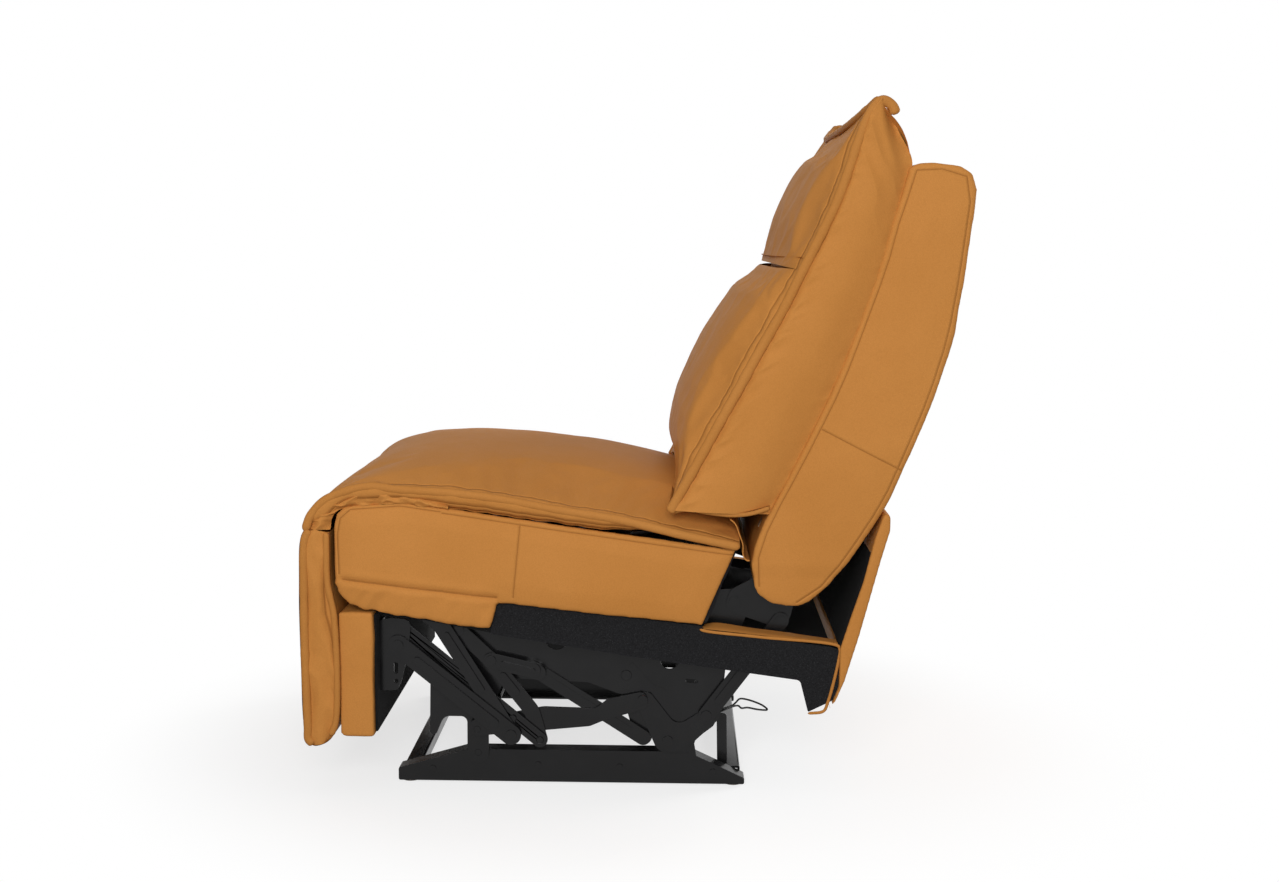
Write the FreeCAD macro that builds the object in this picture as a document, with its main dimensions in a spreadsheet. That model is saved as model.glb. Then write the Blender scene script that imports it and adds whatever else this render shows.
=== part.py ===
import FreeCAD, Part
import math
import os

# Armless power recliner, sitting part of a modular sofa: leather seat, back and footrest on an open steel linkage.
# Millimetres. The sitter faces -Y, +X is the sitter's left, +Z is up, the floor is Z = 0.
# Side shapes are drawn in the Y, Z plane and built out along X. Pivots are (Y, Z) points.

Vector = FreeCAD.Vector
doc = FreeCAD.newDocument("Recliner")
sheet = doc.addObject("Spreadsheet::Sheet", "Sizes")

# Driving dimensions
SIZES = {
    # across the chair
    "centring": 6.0,
    "cushion_half_width": 318.0,
    "panel_face": 310.0,
    "panel_thick": 10.0,
    "wood_thick": 18.0,
    "felt_thick": 1.5,
    "shell_wall": 20.0,
    "rail_face": 245.0,
    "rail_depth": 30.0,
    "rail_wall": 3.5,
    "rail_height": 52.0,
    "glide_height": 2.0,
    "glide_radius": 14.0,
    # linkage stack
    "link_thick": 3.0,
    "layer_gap": 1.0,
    "pin_radius": 5.0,
    "pin_clearance": 0.3,
    "loose_clearance": 1.6,
    "head_radius": 8.5,
    "head_thick": 1.6,
    "rib_height": 3.0,
    "low_rib_height": 0.6,
    "link_half_width": 14.0,
    # footrest linkage
    "front_link_pivot_y": -315.0,
    "front_link_pivot_z": 287.0,
    "front_link_end_y": -190.0,
    "front_link_end_z": 88.0,
    "cross_pivot_rise": 25.0,
    "rear_link_end_y": -145.0,
    "rear_link_end_z": 78.0,
    "bracket_pivot_y": -366.0,
    "bracket_pivot_z": 230.0,
    "front_link_swing": 97.0,
    "footrest_swing": 88.0,
    # footrest drive
    "drive_pivot_y": -222.0,
    "drive_pivot_z": 205.0,
    "drive_end_y": 17.0,
    "drive_end_z": 80.0,
    "drive_tube_y": -10.0,
    "drive_tube_z": 180.0,
    "drive_tube_radius": 11.0,
    "tube_wall": 2.0,
    # seat glide
    "front_foot_y": -245.0,
    "front_foot_z": 50.0,
    "rear_foot_y": 83.0,
    "rear_foot_z": 67.0,
    "glide_lean": 42.0,
    "glide_rise": 146.0,
    "tie_pivot_y": -245.0,
    "tie_pivot_z": 91.8,
    # recline linkage
    "crank_pivot_y": 56.0,
    "crank_pivot_z": 75.0,
    "crank_tie_y": 16.0,
    "crank_tie_z": 143.0,
    "crank_push_y": 116.0,
    "crank_push_z": 118.0,
    "back_pivot_y": 158.0,
    "back_pivot_z": 301.0,
    "back_push_y": 230.0,
    "back_push_z": 272.0,
    # heights
    "back_top": 1066.0,
    "shell_top": 980.0,
    # soft parts
    "soft_gap": 0.4,
    "seat_crown": 34.0,
    "lumbar_crown": 78.0,
    "headrest_crown": 42.0,
    "headrest_gap": 0.5,
    "pad_thick": 45.5,
    "pad_crown": 6.0,
    # frames
    "flap_board_thick": 3.0,
    "board_thick": 18.0,
    "strap_width": 50.0,
    "strap_thick": 2.0,
    "strap_count": 5.0,
    "spring_count": 5.0,
    "spring_wire": 3.6,
}
for row, (name, value) in enumerate(SIZES.items(), start=1):
    sheet.set(f"A{row}", name)
    sheet.set(f"B{row}", str(value))
    sheet.setAlias(f"B{row}", name)
doc.recompute()


def size(name):
    return float(sheet.get(name))


def cell(name):
    return f"Sizes.{name}"


def point(name):
    return (size(name + "_y"), size(name + "_z"))


def add(a, b):
    return (a[0] + b[0], a[1] + b[1])


def sub(a, b):
    return (a[0] - b[0], a[1] - b[1])


def scaled(a, k):
    return (a[0] * k, a[1] * k)


def unit(a):
    length = math.hypot(*a)
    return (a[0] / length, a[1] / length)


# Outlines

def rounded(corners):
    """Closed outline through corners (y, z) or (y, z, radius), as lines joined by tangent arcs."""
    n = len(corners)
    starts, arcs = [], []
    for i, corner in enumerate(corners):
        here = corner[:2]
        radius = corner[2] if len(corner) > 2 else 0.0
        back = unit(sub(corners[i - 1][:2], here))
        ahead = unit(sub(corners[(i + 1) % n][:2], here))
        if radius <= 0:
            starts.append((here, here))
            arcs.append(None)
            continue
        half = math.acos(max(-1.0, min(1.0, back[0] * ahead[0] + back[1] * ahead[1]))) / 2
        reach = radius / math.tan(half)
        enter, leave = add(here, scaled(back, reach)), add(here, scaled(ahead, reach))
        inward = unit(add(back, ahead))
        middle = add(here, scaled(inward, radius / math.sin(half) - radius))
        starts.append((enter, leave))
        arcs.append(middle)
    edges = []
    for i in range(n):
        enter, leave = starts[i]
        if arcs[i] is not None:
            edges.append(Part.Arc(Vector(*enter, 0), Vector(*arcs[i], 0), Vector(*leave, 0)))
        following = starts[(i + 1) % n][0]
        if math.dist(leave, following) > 1e-4:
            edges.append(Part.LineSegment(Vector(*leave, 0), Vector(*following, 0)))
    return edges


def circle(centre, radius):
    return [Part.Circle(Vector(*centre, 0), Vector(0, 0, 1), radius)]


def strip(centres, half, end=None):
    """Outline of a flat bar along a centre line, with round ends."""
    end = half if end is None else end
    left, right = [], []
    for i, centre in enumerate(centres):
        before = unit(sub(centre, centres[i - 1])) if i else unit(sub(centres[1], centre))
        after = unit(sub(centres[i + 1], centre)) if i < len(centres) - 1 else before
        along = unit(add(before, after))
        across = (-along[1], along[0])
        spread = half / max(0.2, across[0] * -before[1] + across[1] * before[0])
        reach = (0.0, 0.0)
        corner = 3 * half
        if i == 0:
            reach, corner = scaled(before, -half), half
        if i == len(centres) - 1:
            reach, corner = scaled(before, half), half
        left.append((*add(add(centre, reach), scaled(across, spread)), corner))
        right.append((*sub(add(centre, reach), scaled(across, spread)), corner))
    return rounded(left + right[::-1])


def slot(centre, direction, length, half):
    along = scaled(unit(direction), length / 2)
    return strip([sub(centre, along), add(centre, along)], half)


# Sub-parts built out along X

def layer(number, face="inner"):
    """Expression for a linkage layer's inner or outer face."""
    step = f"({cell('link_thick')} + {cell('layer_gap')})"
    expression = f"{cell('rail_face')} + {cell('layer_gap')} + {number - 1} * {step}"
    return expression if face == "inner" else f"{expression} + {cell('link_thick')}"


def value(expression):
    """Number that an expression of the sheet's cells gives."""
    for name in sorted(SIZES, key=len, reverse=True):
        expression = expression.replace(cell(name), repr(size(name)))
    total = doc.addObject("App::FeaturePython", "Reading")
    total.addProperty("App::PropertyFloat", "Number")
    total.setExpression("Number", expression)
    total.recompute()
    number = total.Number
    doc.removeObject(total.Name)
    return number


def new_body(label):
    body = doc.addObject("PartDesign::Body", "Body")
    body.Label = label
    body.setExpression(".Placement.Base.y", cell("centring"))
    return body


def new_feature(label, shape):
    feature = doc.addObject("Part::Feature", "Feature")
    feature.Label = label
    feature.Shape = shape
    feature.Placement = FreeCAD.Placement(Vector(0, size("centring"), 0), FreeCAD.Rotation())
    return feature


def side_plane(body):
    return next(f for f in body.Origin.OriginFeatures if f.Role == "YZ_Plane")


def build_out(body, wires, start, stop, side=1, cut=False):
    """Pad or pocket a Y, Z outline from X = start to X = stop, mirrored to -X when side is -1."""
    if side < 0:
        start, stop = f"-({stop})", f"-({start})"
    sketch = body.newObject("Sketcher::SketchObject", "Sketch")
    sketch.AttachmentSupport = [(side_plane(body), "")]
    sketch.MapMode = "FlatFace"
    sketch.setExpression(".AttachmentOffset.Base.z", start)
    for wire in wires:
        sketch.addGeometry(wire, False)
    feature = body.newObject("PartDesign::Pocket" if cut else "PartDesign::Pad", "Cut" if cut else "Form")
    feature.Profile = sketch
    feature.setExpression("Length", f"({stop}) - ({start})")
    feature.Reversed = cut
    body.Tip = feature
    return feature


def hole(name="pin_clearance"):
    return size("pin_radius") + size(name)


def pin(body, centre, start, stop, side, head=None):
    """Rivet from start to stop, with an outer head when head is its radius."""
    build_out(body, [circle(centre, size("pin_radius"))], start, stop, side)
    if head:
        top = f"{stop} + {cell('head_thick')}"
        build_out(body, [circle(centre, head)], stop, top, side)


def rib(body, centres, half, start, side, height="rib_height"):
    """Pressed rib along a link's outer face."""
    top = f"{start} + {cell(height)}"
    build_out(body, [strip(centres, half)], start, top, side)


def rivets(label, steps):
    """Rivets and spacers along X on both sides, one solid for each list of (radius, start, stop) at a point."""
    solids = []
    for side in (1, -1):
        for (y, z), stages in steps:
            solid = None
            for radius, start, stop in stages:
                low, high = value(start), value(stop)
                base = Vector(side * low, y, z)
                piece = Part.makeCylinder(radius, high - low, base, Vector(side, 0, 0))
                solid = piece if solid is None else solid.fuse(piece)
            solids.append(solid.removeSplitter())
    new_feature(label, Part.makeCompound(solids))


def between(a, b, share):
    return add(a, scaled(sub(b, a), share))


SIDES = (("left", 1), ("right", -1))

# Pivots, each worked out once

P_FRONT = point("front_link_pivot")
P_FRONT_END = point("front_link_end")
P_CROSS = add(P_FRONT_END, (2.5, size("cross_pivot_rise")))
P_REAR_END = point("rear_link_end")
P_REAR = add(P_FRONT, sub(P_REAR_END, P_CROSS))
P_BRACKET_LOW = point("bracket_pivot")


def bracket_upper_pivot():
    """Upper bracket pivot that closes the outer loop in both end positions."""
    short = sub(P_CROSS, P_FRONT_END)
    swing = math.radians(size("front_link_swing"))
    turn = math.radians(size("footrest_swing"))
    length = math.hypot(*short) * math.sin(swing / 2) / math.sin(turn / 2)
    angle = math.atan2(short[1], short[0]) + (turn - swing) / 2
    return add(P_BRACKET_LOW, (length * math.cos(angle), length * math.sin(angle)))


P_BRACKET_HIGH = bracket_upper_pivot()
P_DRIVE = point("drive_pivot")
P_DRIVE_END = point("drive_end")
P_TUBE = point("drive_tube")
P_FRONT_FOOT = point("front_foot")
P_REAR_FOOT = point("rear_foot")
LEAN = (size("glide_lean"), size("glide_rise"))
P_FRONT_SEAT = add(P_FRONT_FOOT, LEAN)
P_REAR_SEAT = add(P_REAR_FOOT, LEAN)
P_TIE = point("tie_pivot")
P_CRANK = point("crank_pivot")
P_CRANK_TIE = point("crank_tie")
P_CRANK_PUSH = point("crank_push")
P_BACK = point("back_pivot")
P_BACK_PUSH = point("back_push")
HALF = size("link_half_width")

# Base frame

RAIL_FRONT, RAIL_REAR = -373.0, 178.0
RAIL_BOTTOM = size("glide_height")
RAIL_TOP = RAIL_BOTTOM + size("rail_height")
FRONT_SLOPE, REAR_SLOPE = -262.0, 88.0
END_HEIGHT = 20.0


def rail_outline(inset):
    return rounded([
        (RAIL_FRONT + inset, RAIL_BOTTOM + inset, 3),
        (RAIL_FRONT + inset, RAIL_BOTTOM + END_HEIGHT - inset, 3),
        (FRONT_SLOPE + inset / 3, RAIL_TOP - inset, 12),
        (REAR_SLOPE - inset / 3, RAIL_TOP - inset, 12),
        (RAIL_REAR - inset, RAIL_BOTTOM + END_HEIGHT / 2 - inset / 4, 3),
        (RAIL_REAR - inset, RAIL_BOTTOM + inset, 3),
    ])


def base_rail(name, side):
    body = new_body(f"base_rail_{name}")
    inner = f"{cell('rail_face')} - {cell('rail_depth')}"
    web = f"{cell('rail_face')} - {cell('rail_wall')}"
    face = cell("rail_face")
    build_out(body, [rail_outline(0)], inner, face, side)
    build_out(body, [rail_outline(size("rail_wall"))], inner, web, side, cut=True)
    y, z = P_REAR_FOOT
    ear = rounded([(y - 18, RAIL_TOP - 8), (y - 12, z + 13, 8), (y + 13, z + 13, 8), (y + 20, RAIL_TOP - 16)])
    build_out(body, [ear], web, face, side)
    for centre in ((-150, 30), (-20, 28), (-318, 22), (128, 22)):
        build_out(body, [circle(centre, 5)], face, f"{face} + {cell('head_thick')}", side)


def base_crossbar(label, y, uprights):
    """Channel between the rails' inner edges, open below, with bent-up ears at the rear one."""
    body = new_body(label)
    wall = size("rail_wall")
    reach = f"{cell('rail_face')} - {cell('rail_depth')}"
    top = RAIL_BOTTOM + END_HEIGHT
    depth = 26.0
    build_out(body, [rounded([
        (y, RAIL_BOTTOM), (y, top, 3), (y + depth, top, 3), (y + depth, RAIL_BOTTOM),
        (y + depth - wall, RAIL_BOTTOM), (y + depth - wall, top - wall), (y + wall, top - wall), (y + wall, RAIL_BOTTOM),
    ])], f"-({reach})", reach)
    for side in (1, -1) if uprights else ():
        post = rounded([(y - 10, RAIL_BOTTOM + 4), (y - 12, 105, 4), (y + 4, 105, 4), (y + 6, RAIL_BOTTOM + 4)])
        build_out(body, [post], f"{reach} - 14", f"{reach} - 10", side)


def floor_glides():
    feet = []
    for side in (1, -1):
        for y in (RAIL_FRONT + 18, RAIL_REAR - 18):
            x = side * (size("rail_face") - size("rail_depth") / 2)
            feet.append(Part.makeCylinder(size("glide_radius"), size("glide_height"), Vector(x, y, 0)))
    new_feature("floor_glides", Part.makeCompound(feet))


for name, side in SIDES:
    base_rail(name, side)
base_crossbar("base_front_crossbar", RAIL_FRONT + 6, False)
base_crossbar("base_rear_crossbar", RAIL_REAR - 32, True)
floor_glides()
rivets("base_pivot_pins", [
    (P_FRONT_FOOT, [(size("pin_radius"), cell("rail_face"), f"{layer(1, 'outer')} + 0.2")]),
    (P_REAR_FOOT, [(size("pin_radius"), cell("rail_face"), f"{layer(1, 'outer')} + 0.2")]),
])

# Seat glide


def front_swing_plate(name, side):
    body = new_body(f"front_swing_plate_{name}")
    foot, top = P_FRONT_FOOT, P_FRONT_SEAT
    outline = rounded([
        (foot[0] - 17, foot[1] - 17, 16), (foot[0] - 17, 109, 10), (foot[0] - 54, 109, 14), (foot[0] - 77, 54, 6),
        (foot[0] - 75, 168, 14), (top[0] - 12, top[1] + 18, 14), (top[0] + 17, top[1] + 14, 14),
        (foot[0] + 17, 108, 30), (foot[0] + 17, foot[1] - 17, 16),
    ])
    holes = [circle(foot, hole()), circle(top, hole())]
    build_out(body, [outline] + holes, layer(1), layer(1, "outer"), side)
    shoulder = f"{layer(4)} - 0.4"
    build_out(body, [circle(P_TIE, 7.5)], layer(1, "outer"), shoulder, side)
    pin(body, P_TIE, shoulder, f"{layer(4, 'outer')} + 0.4", side)


def rear_swing_link(name, side):
    body = new_body(f"rear_swing_link_{name}")
    wires = [strip([P_REAR_FOOT, P_REAR_SEAT], HALF), circle(P_REAR_FOOT, hole()), circle(P_REAR_SEAT, hole())]
    build_out(body, wires, layer(1), layer(1, "outer"), side)


def tube(label, centre, radius, reach):
    body = new_body(label)
    wires = [circle(centre, radius), circle(centre, radius - size("tube_wall"))]
    build_out(body, wires, f"-({reach})", reach)
    return body


def tie_link(name, side):
    body = new_body(f"tie_link_{name}")
    g, end = P_TIE, P_CRANK_TIE
    outline = rounded([
        (g[0] - 12, g[1] - 12, 11), (-67, 99, 20), (-44, 109, 20), (end[0] + 9, end[1] - 13, 10),
        (end[0] + 6, end[1] + 13, 10), (-38, 144, 16), (-58, 128, 16), (-140, 130, 40), (g[0] - 12, g[1] + 14, 12),
    ])
    build_out(body, [outline, circle(g, hole())], layer(4), layer(4, "outer"), side)
    pin(body, end, layer(4, "outer"), f"{layer(4, 'outer')} + 1", side, size("head_radius") - 1)


for name, side in SIDES:
    front_swing_plate(name, side)
    rear_swing_link(name, side)
    tie_link(name, side)
tube("swing_cross_tube", between(P_FRONT_FOOT, P_FRONT_SEAT, 0.62), size("drive_tube_radius"), layer(1))

# Seat plates

WOOD = f"{layer(8, 'outer')} + 3.5"


def seat_plate(name, side):
    body = new_body(f"seat_plate_{name}")
    crank = P_CRANK
    outline = rounded([
        (P_FRONT[0] - 24, P_FRONT[1] + 46, 10), (P_FRONT[0] - 24, P_FRONT[1] - 16, 14),
        (P_REAR[0] - 12, P_REAR[1] - 26, 20), (P_FRONT_SEAT[0] - 14, P_FRONT_SEAT[1] - 22, 16),
        (-70, 168, 30), (-22, 150, 16), (36, 146, 12), (crank[0] - 21, crank[1] - 19, 18),
        (crank[0] + 22, crank[1] - 20, 18), (138, 112, 24), (146, 196, 24), (P_BACK[0] + 20, P_BACK[1] - 20, 16),
        (P_BACK[0] + 20, P_BACK[1] + 20, 16), (P_BACK[0] - 26, P_BACK[1] + 18, 16), (80, 302, 20),
    ])
    openings = [
        circle((58, 206), 15), slot((93, 172), (1, -0.1), 14, 3), circle((-120, 238), 18), circle(P_TUBE, 8.5),
    ]
    build_out(body, [outline] + openings, layer(2), layer(2, "outer"), side)
    raised = rounded([(-6, 196), (28, 158), (48, 152), (52, 158), (33, 165), (0, 201)])
    build_out(body, [raised], layer(2, "outer"), f"{layer(2, 'outer')} + {cell('low_rib_height')}", side)


def seat_batten(name, side):
    """Wooden batten that the seat plate is screwed to."""
    body = new_body(f"seat_batten_{name}")
    outline = rounded([(P_FRONT[0] - 20, 311), (P_FRONT[0] - 20, 331), (80, 300), (80, 280)])
    build_out(body, [outline], layer(2, "outer"), WOOD, side)


def held(centre, place):
    """Stepped rivet on the seat plate: a shoulder, the bearing and a head outside the link in layer place."""
    outer = f"{layer(place, 'outer')} + 0.4"
    stages = [(size("pin_radius"), layer(2, "outer"), outer)]
    stages.append((size("head_radius"), outer, f"{outer} + {cell('head_thick')}"))
    if place > 3:
        stages.append((8.0, layer(2, "outer"), f"{layer(place)} - 0.4"))
    return (centre, stages)


for name, side in SIDES:
    seat_plate(name, side)
    seat_batten(name, side)
under = [(size("pin_radius"), f"{layer(1)} - 0.6", layer(2))]
rivets("seat_pivot_pins", [(P_FRONT_SEAT, under), (P_REAR_SEAT, under), held(P_FRONT, 7), held(P_REAR, 5),
                           held(P_CRANK, 3), held(P_BACK, 3)])

# Footrest linkage


def front_footrest_link(name, side):
    body = new_body(f"front_footrest_link_{name}")
    wires = [strip([P_FRONT, P_FRONT_END], HALF - 1), circle(P_FRONT, hole())]
    build_out(body, wires, layer(7), layer(7, "outer"), side)
    rib(body, [between(P_FRONT, P_FRONT_END, 0.2), between(P_FRONT, P_FRONT_END, 0.64)], 4, layer(7, "outer"), side)
    pin(body, P_CROSS, f"{layer(6)} - 0.4", layer(7), side)
    pin(body, P_FRONT_END, layer(7, "outer"), f"{layer(8, 'outer')} + 0.4", side, size("head_radius"))


def rear_footrest_link(name, side):
    body = new_body(f"rear_footrest_link_{name}")
    top, low, drive = P_REAR, P_REAR_END, P_DRIVE
    knee = (low[0] - 13, low[1] + 46)
    build_out(body, [strip([top, drive, knee, low], HALF - 2), circle(top, hole())], layer(5), layer(5, "outer"), side)
    rib(body, [between(drive, knee, 0.3), between(drive, knee, 0.62)], 5, layer(5, "outer"), side)
    pin(body, drive, layer(5, "outer"), f"{layer(6, 'outer')} + 0.4", side, size("head_radius"))
    pin(body, low, layer(5, "outer"), f"{layer(6, 'outer')} + 0.4", side)


def outer_footrest_link(name, side):
    body = new_body(f"outer_footrest_link_{name}")
    wires = [strip([P_FRONT_END, P_BRACKET_LOW], HALF + 2)]
    wires += [circle(P_FRONT_END, hole()), circle(P_BRACKET_LOW, hole())]
    build_out(body, wires, layer(8), layer(8, "outer"), side)
    line = [between(P_BRACKET_LOW, P_FRONT_END, 0.17), between(P_BRACKET_LOW, P_FRONT_END, 0.86)]
    rib(body, line, 6, layer(8, "outer"), side)


def inner_footrest_link(name, side):
    body = new_body(f"inner_footrest_link_{name}")
    wires = [strip([P_REAR_END, P_CROSS, P_BRACKET_HIGH], HALF - 2)]
    wires += [circle(P_REAR_END, hole()), circle(P_CROSS, hole())]
    wires += [circle(P_BRACKET_HIGH, hole("loose_clearance"))]
    build_out(body, wires, layer(6), layer(6, "outer"), side)


def drive_link(name, side):
    body = new_body(f"drive_link_{name}")
    bend = (-156.0, 190.0)
    half = HALF - 2
    build_out(body, [strip([P_DRIVE, bend], half), circle(P_DRIVE, hole())], layer(6), layer(6, "outer"), side)
    build_out(body, [strip([add(bend, (-8, 2)), add(bend, (8, -4))], half)], layer(3), layer(6), side)
    build_out(body, [strip([add(bend, (-8, 2)), bend, P_DRIVE_END], half)], layer(3), layer(3, "outer"), side)
    rib(body, [between(P_DRIVE, bend, 0.3), bend], 4, layer(6, "outer"), side)
    ridge = [between(bend, P_DRIVE_END, 0.12), between(bend, P_DRIVE_END, 0.88)]
    rib(body, ridge, 4, layer(3, "outer"), side, "low_rib_height")
    build_out(body, [circle(P_DRIVE_END, 7)], f"{layer(1, 'outer')} + 0.5", layer(3), side)


def drive_crank(name, side):
    body = new_body(f"drive_crank_{name}")
    build_out(body, [strip([P_TUBE, P_DRIVE_END], HALF)], layer(1), layer(1, "outer"), side)
    build_out(body, [circle(P_TUBE, 8)], layer(1, "outer"), f"{layer(2, 'outer')} + 1", side)


def footrest_bracket(name, side):
    body = new_body(f"footrest_bracket_{name}")
    low, high = P_BRACKET_LOW, P_BRACKET_HIGH
    back = low[0] - 29
    outline = rounded([
        (back, low[1] - 73), (low[0] - 2, low[1] - 73, 8), (low[0] + 5, low[1] - 56, 8), (low[0] + 16, low[1] - 8, 14),
        (high[0] + 16, high[1] + 14, 13), (high[0] - 16, high[1] + 16, 8), (back, high[1] + 12),
    ])
    wires = [outline, slot((low[0] - 4, low[1] - 37), (0, 1), 12, 3.2), circle((low[0] - 4, low[1] - 58), 3.6)]
    build_out(body, wires, layer(7), layer(7, "outer"), side)
    flange = rounded([
        (back, low[1] - 73), (back, high[1] + 12), (back + 3.5, high[1] + 12), (back + 3.5, low[1] - 73),
    ])
    build_out(body, [flange], f"{layer(7)} - 24", layer(7, "outer"), side)
    pin(body, low, layer(7, "outer"), f"{layer(8, 'outer')} + 0.4", side, size("head_radius"))
    pin(body, high, f"{layer(6)} - 0.4", layer(7), side)


for name, side in SIDES:
    front_footrest_link(name, side)
    rear_footrest_link(name, side)
    outer_footrest_link(name, side)
    inner_footrest_link(name, side)
    drive_link(name, side)
    drive_crank(name, side)
    footrest_bracket(name, side)
tube("drive_tube", P_TUBE, size("drive_tube_radius"), layer(1))

# Recline linkage


def recline_crank(name, side):
    body = new_body(f"recline_crank_{name}")
    tie, foot, push = P_CRANK_TIE, P_CRANK, P_CRANK_PUSH
    outline = rounded([
        (tie[0] - 14, tie[1] + 4, 11), (foot[0] - 18, foot[1] - 12, 14), (foot[0] + 14, foot[1] - 19, 15),
        (push[0] + 16, push[1] - 14, 13), (push[0] + 8, push[1] + 17, 13), (foot[0] + 14, foot[1] + 24, 18),
        (tie[0] + 10, tie[1] + 13, 11),
    ])
    wires = [outline, circle(foot, hole())]
    build_out(body, wires, layer(3), layer(3, "outer"), side)
    pin(body, push, layer(3, "outer"), f"{layer(4, 'outer')} + 0.4", side, size("head_radius"))


def recline_link(name, side):
    body = new_body(f"recline_link_{name}")
    wires = [strip([P_CRANK_PUSH, P_BACK_PUSH], HALF - 1), circle(P_CRANK_PUSH, hole())]
    build_out(body, wires, layer(4), layer(4, "outer"), side)
    line = [between(P_CRANK_PUSH, P_BACK_PUSH, 0.16), between(P_CRANK_PUSH, P_BACK_PUSH, 0.86)]
    rib(body, line, 5, layer(4, "outer"), side)
    build_out(body, [circle(P_BACK_PUSH, size("head_radius"))], layer(4, "outer"), f"{layer(4, 'outer')} + 1.6", side)


def back_bracket(name, side):
    body = new_body(f"back_bracket_{name}")
    outline = rounded([
        (P_BACK[0] - 17, P_BACK[1] - 12, 15), (P_BACK_PUSH[0] + 6, P_BACK_PUSH[1] - 16, 14),
        (P_BACK_PUSH[0] + 16, P_BACK_PUSH[1] + 8, 14), (260, 340, 30), (258, 486, 8), (230, 486, 8),
        (199, 416, 12), (196, 344, 20), (P_BACK[0] - 6, P_BACK[1] + 19, 16),
    ])
    build_out(body, [outline, circle(P_BACK, hole())], layer(3), layer(3, "outer"), side)


for name, side in SIDES:
    recline_crank(name, side)
    recline_link(name, side)
    back_bracket(name, side)

# Footrest box, board and pad

BOX_BACK = P_BRACKET_LOW[0] - 29
BOARD = 4.0


def footrest_box():
    body = new_body("footrest_box")
    back = BOX_BACK - BOARD
    outline = rounded([(back - 52, 92, 8), (back - 52, 289, 4), (back, 289, 4), (back, 92, 8)])
    build_out(body, [outline], f"-({cell('panel_face')})", cell("panel_face"))


def footrest_board():
    body = new_body("footrest_board")
    outline = rounded([(BOX_BACK - BOARD, 98), (BOX_BACK - BOARD, 284), (BOX_BACK, 284), (BOX_BACK, 98)])
    build_out(body, [outline], f"-({cell('panel_face')} - 12)", f"{cell('panel_face')} - 12")


footrest_box()
footrest_board()

# Wooden seat box


def seat_side_rail(name, side):
    body = new_body(f"seat_side_rail_{name}")
    outline = rounded([
        (-450, 446, 12), (-354, 455, 60), (154, 386), (128, 331), (107, 268), (307, 240, 4), (318, 236, 3),
        (318, 174, 8), (308, 156, 8), (272, 140), (259, 190, 8), (-3, 225), (-221, 258), (-418, 294, 14), (-450, 330, 20),
    ])
    build_out(body, [outline], WOOD, f"{WOOD} + {cell('wood_thick')}", side)


def seat_side_panel(name, side):
    """Leather over foam on the seat box's side, down to the front strip's lower edge."""
    body = new_body(f"seat_side_panel_{name}")
    outline = rounded([
        (-457, 440, 14), (-438, 456, 14), (-354, 462, 60), (-293, 454, 60), (156, 393, 4), (131, 331), (107, 275, 3),
        (-209, 308), (-220, 264, 4), (-395, 290, 30), (-420, 294, 14), (-454, 322, 24),
    ])
    build_out(body, [outline], f"{WOOD} + {cell('wood_thick')}", cell("panel_face"), side)


def felt_cover(name, side):
    body = new_body(f"felt_cover_{name}")
    outline = rounded([
        (-208, 307), (106, 272), (112, 265), (307, 241, 4), (318, 236, 3), (318, 174, 8), (308, 156, 8), (272, 138, 2),
        (259, 188, 8), (-3, 223), (-219, 256),
    ])
    start = f"{WOOD} + {cell('wood_thick')}"
    build_out(body, [outline], start, f"{start} + {cell('felt_thick')}", side)


def seat_cross_rail(label, outline):
    body = new_body(label)
    build_out(body, [rounded(outline)], f"-({WOOD})", WOOD)
    return body


for name, side in SIDES:
    seat_side_rail(name, side)
    seat_side_panel(name, side)
    felt_cover(name, side)
FRONT_RAIL = [(-446, 340), (-446, 436), (-424, 440), (-424, 340)]
REAR_RAIL = [(98, 325), (104, 385), (126, 382), (120, 325)]
seat_cross_rail("seat_front_rail", FRONT_RAIL)
seat_cross_rail("seat_rear_rail", REAR_RAIL)


FLAP_FACE = [(318.4, 240), (334, 292), (357, 368), (368, 410), (379, 444)]


def rear_flap():
    """Padded leather panel behind the mechanism, hinged along its lower edge."""
    body = new_body("rear_flap")
    board = size("flap_board_thick")
    inner = [add(p, (board + 0.2, 0)) for p in reversed(FLAP_FACE)]
    outline = rounded([
        (300, 138, 6), (313, 152, 14), (324, 178, 60), (350, 262, 300), (378, 371, 200), (392, 430, 20),
        (390, 453, 4), (382, 450, 2), *inner, (318.4, 238), (318.4, 172, 6), (309, 152, 8),
    ])
    build_out(body, [outline], f"-({cell('panel_face')})", cell("panel_face"))
    body = new_body("rear_flap_board")
    outline = rounded(FLAP_FACE + [add(p, (board, 0)) for p in reversed(FLAP_FACE)])
    build_out(body, [outline], f"-({cell('panel_face')} - 6)", f"{cell('panel_face')} - 6")


def seat_rear_cloth():
    """Black cloth below the seat's rear rail, stretched between the seat plates."""
    body = new_body("seat_rear_cloth")
    line = [(118, 324.8), (172, 252), (312, 226)]
    outline = rounded(line + [add(p, (0.6, -2)) for p in reversed(line)])
    build_out(body, [outline], f"-({layer(2)})", layer(2))


rear_flap()
seat_rear_cloth()

# Back shell and frame

BACK_LINE = [(186, 410), (292, 632), (361, 826), (393, 934)]
SHELL = [(188, 322, 20), (182, 385, 20)] + BACK_LINE + [
    (405, size("shell_top") - 8, 12), (506, size("shell_top"), 34), (488, 745, 800), (398, 472, 700), (292, 322, 40), (250, 296, 30),
]


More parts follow.
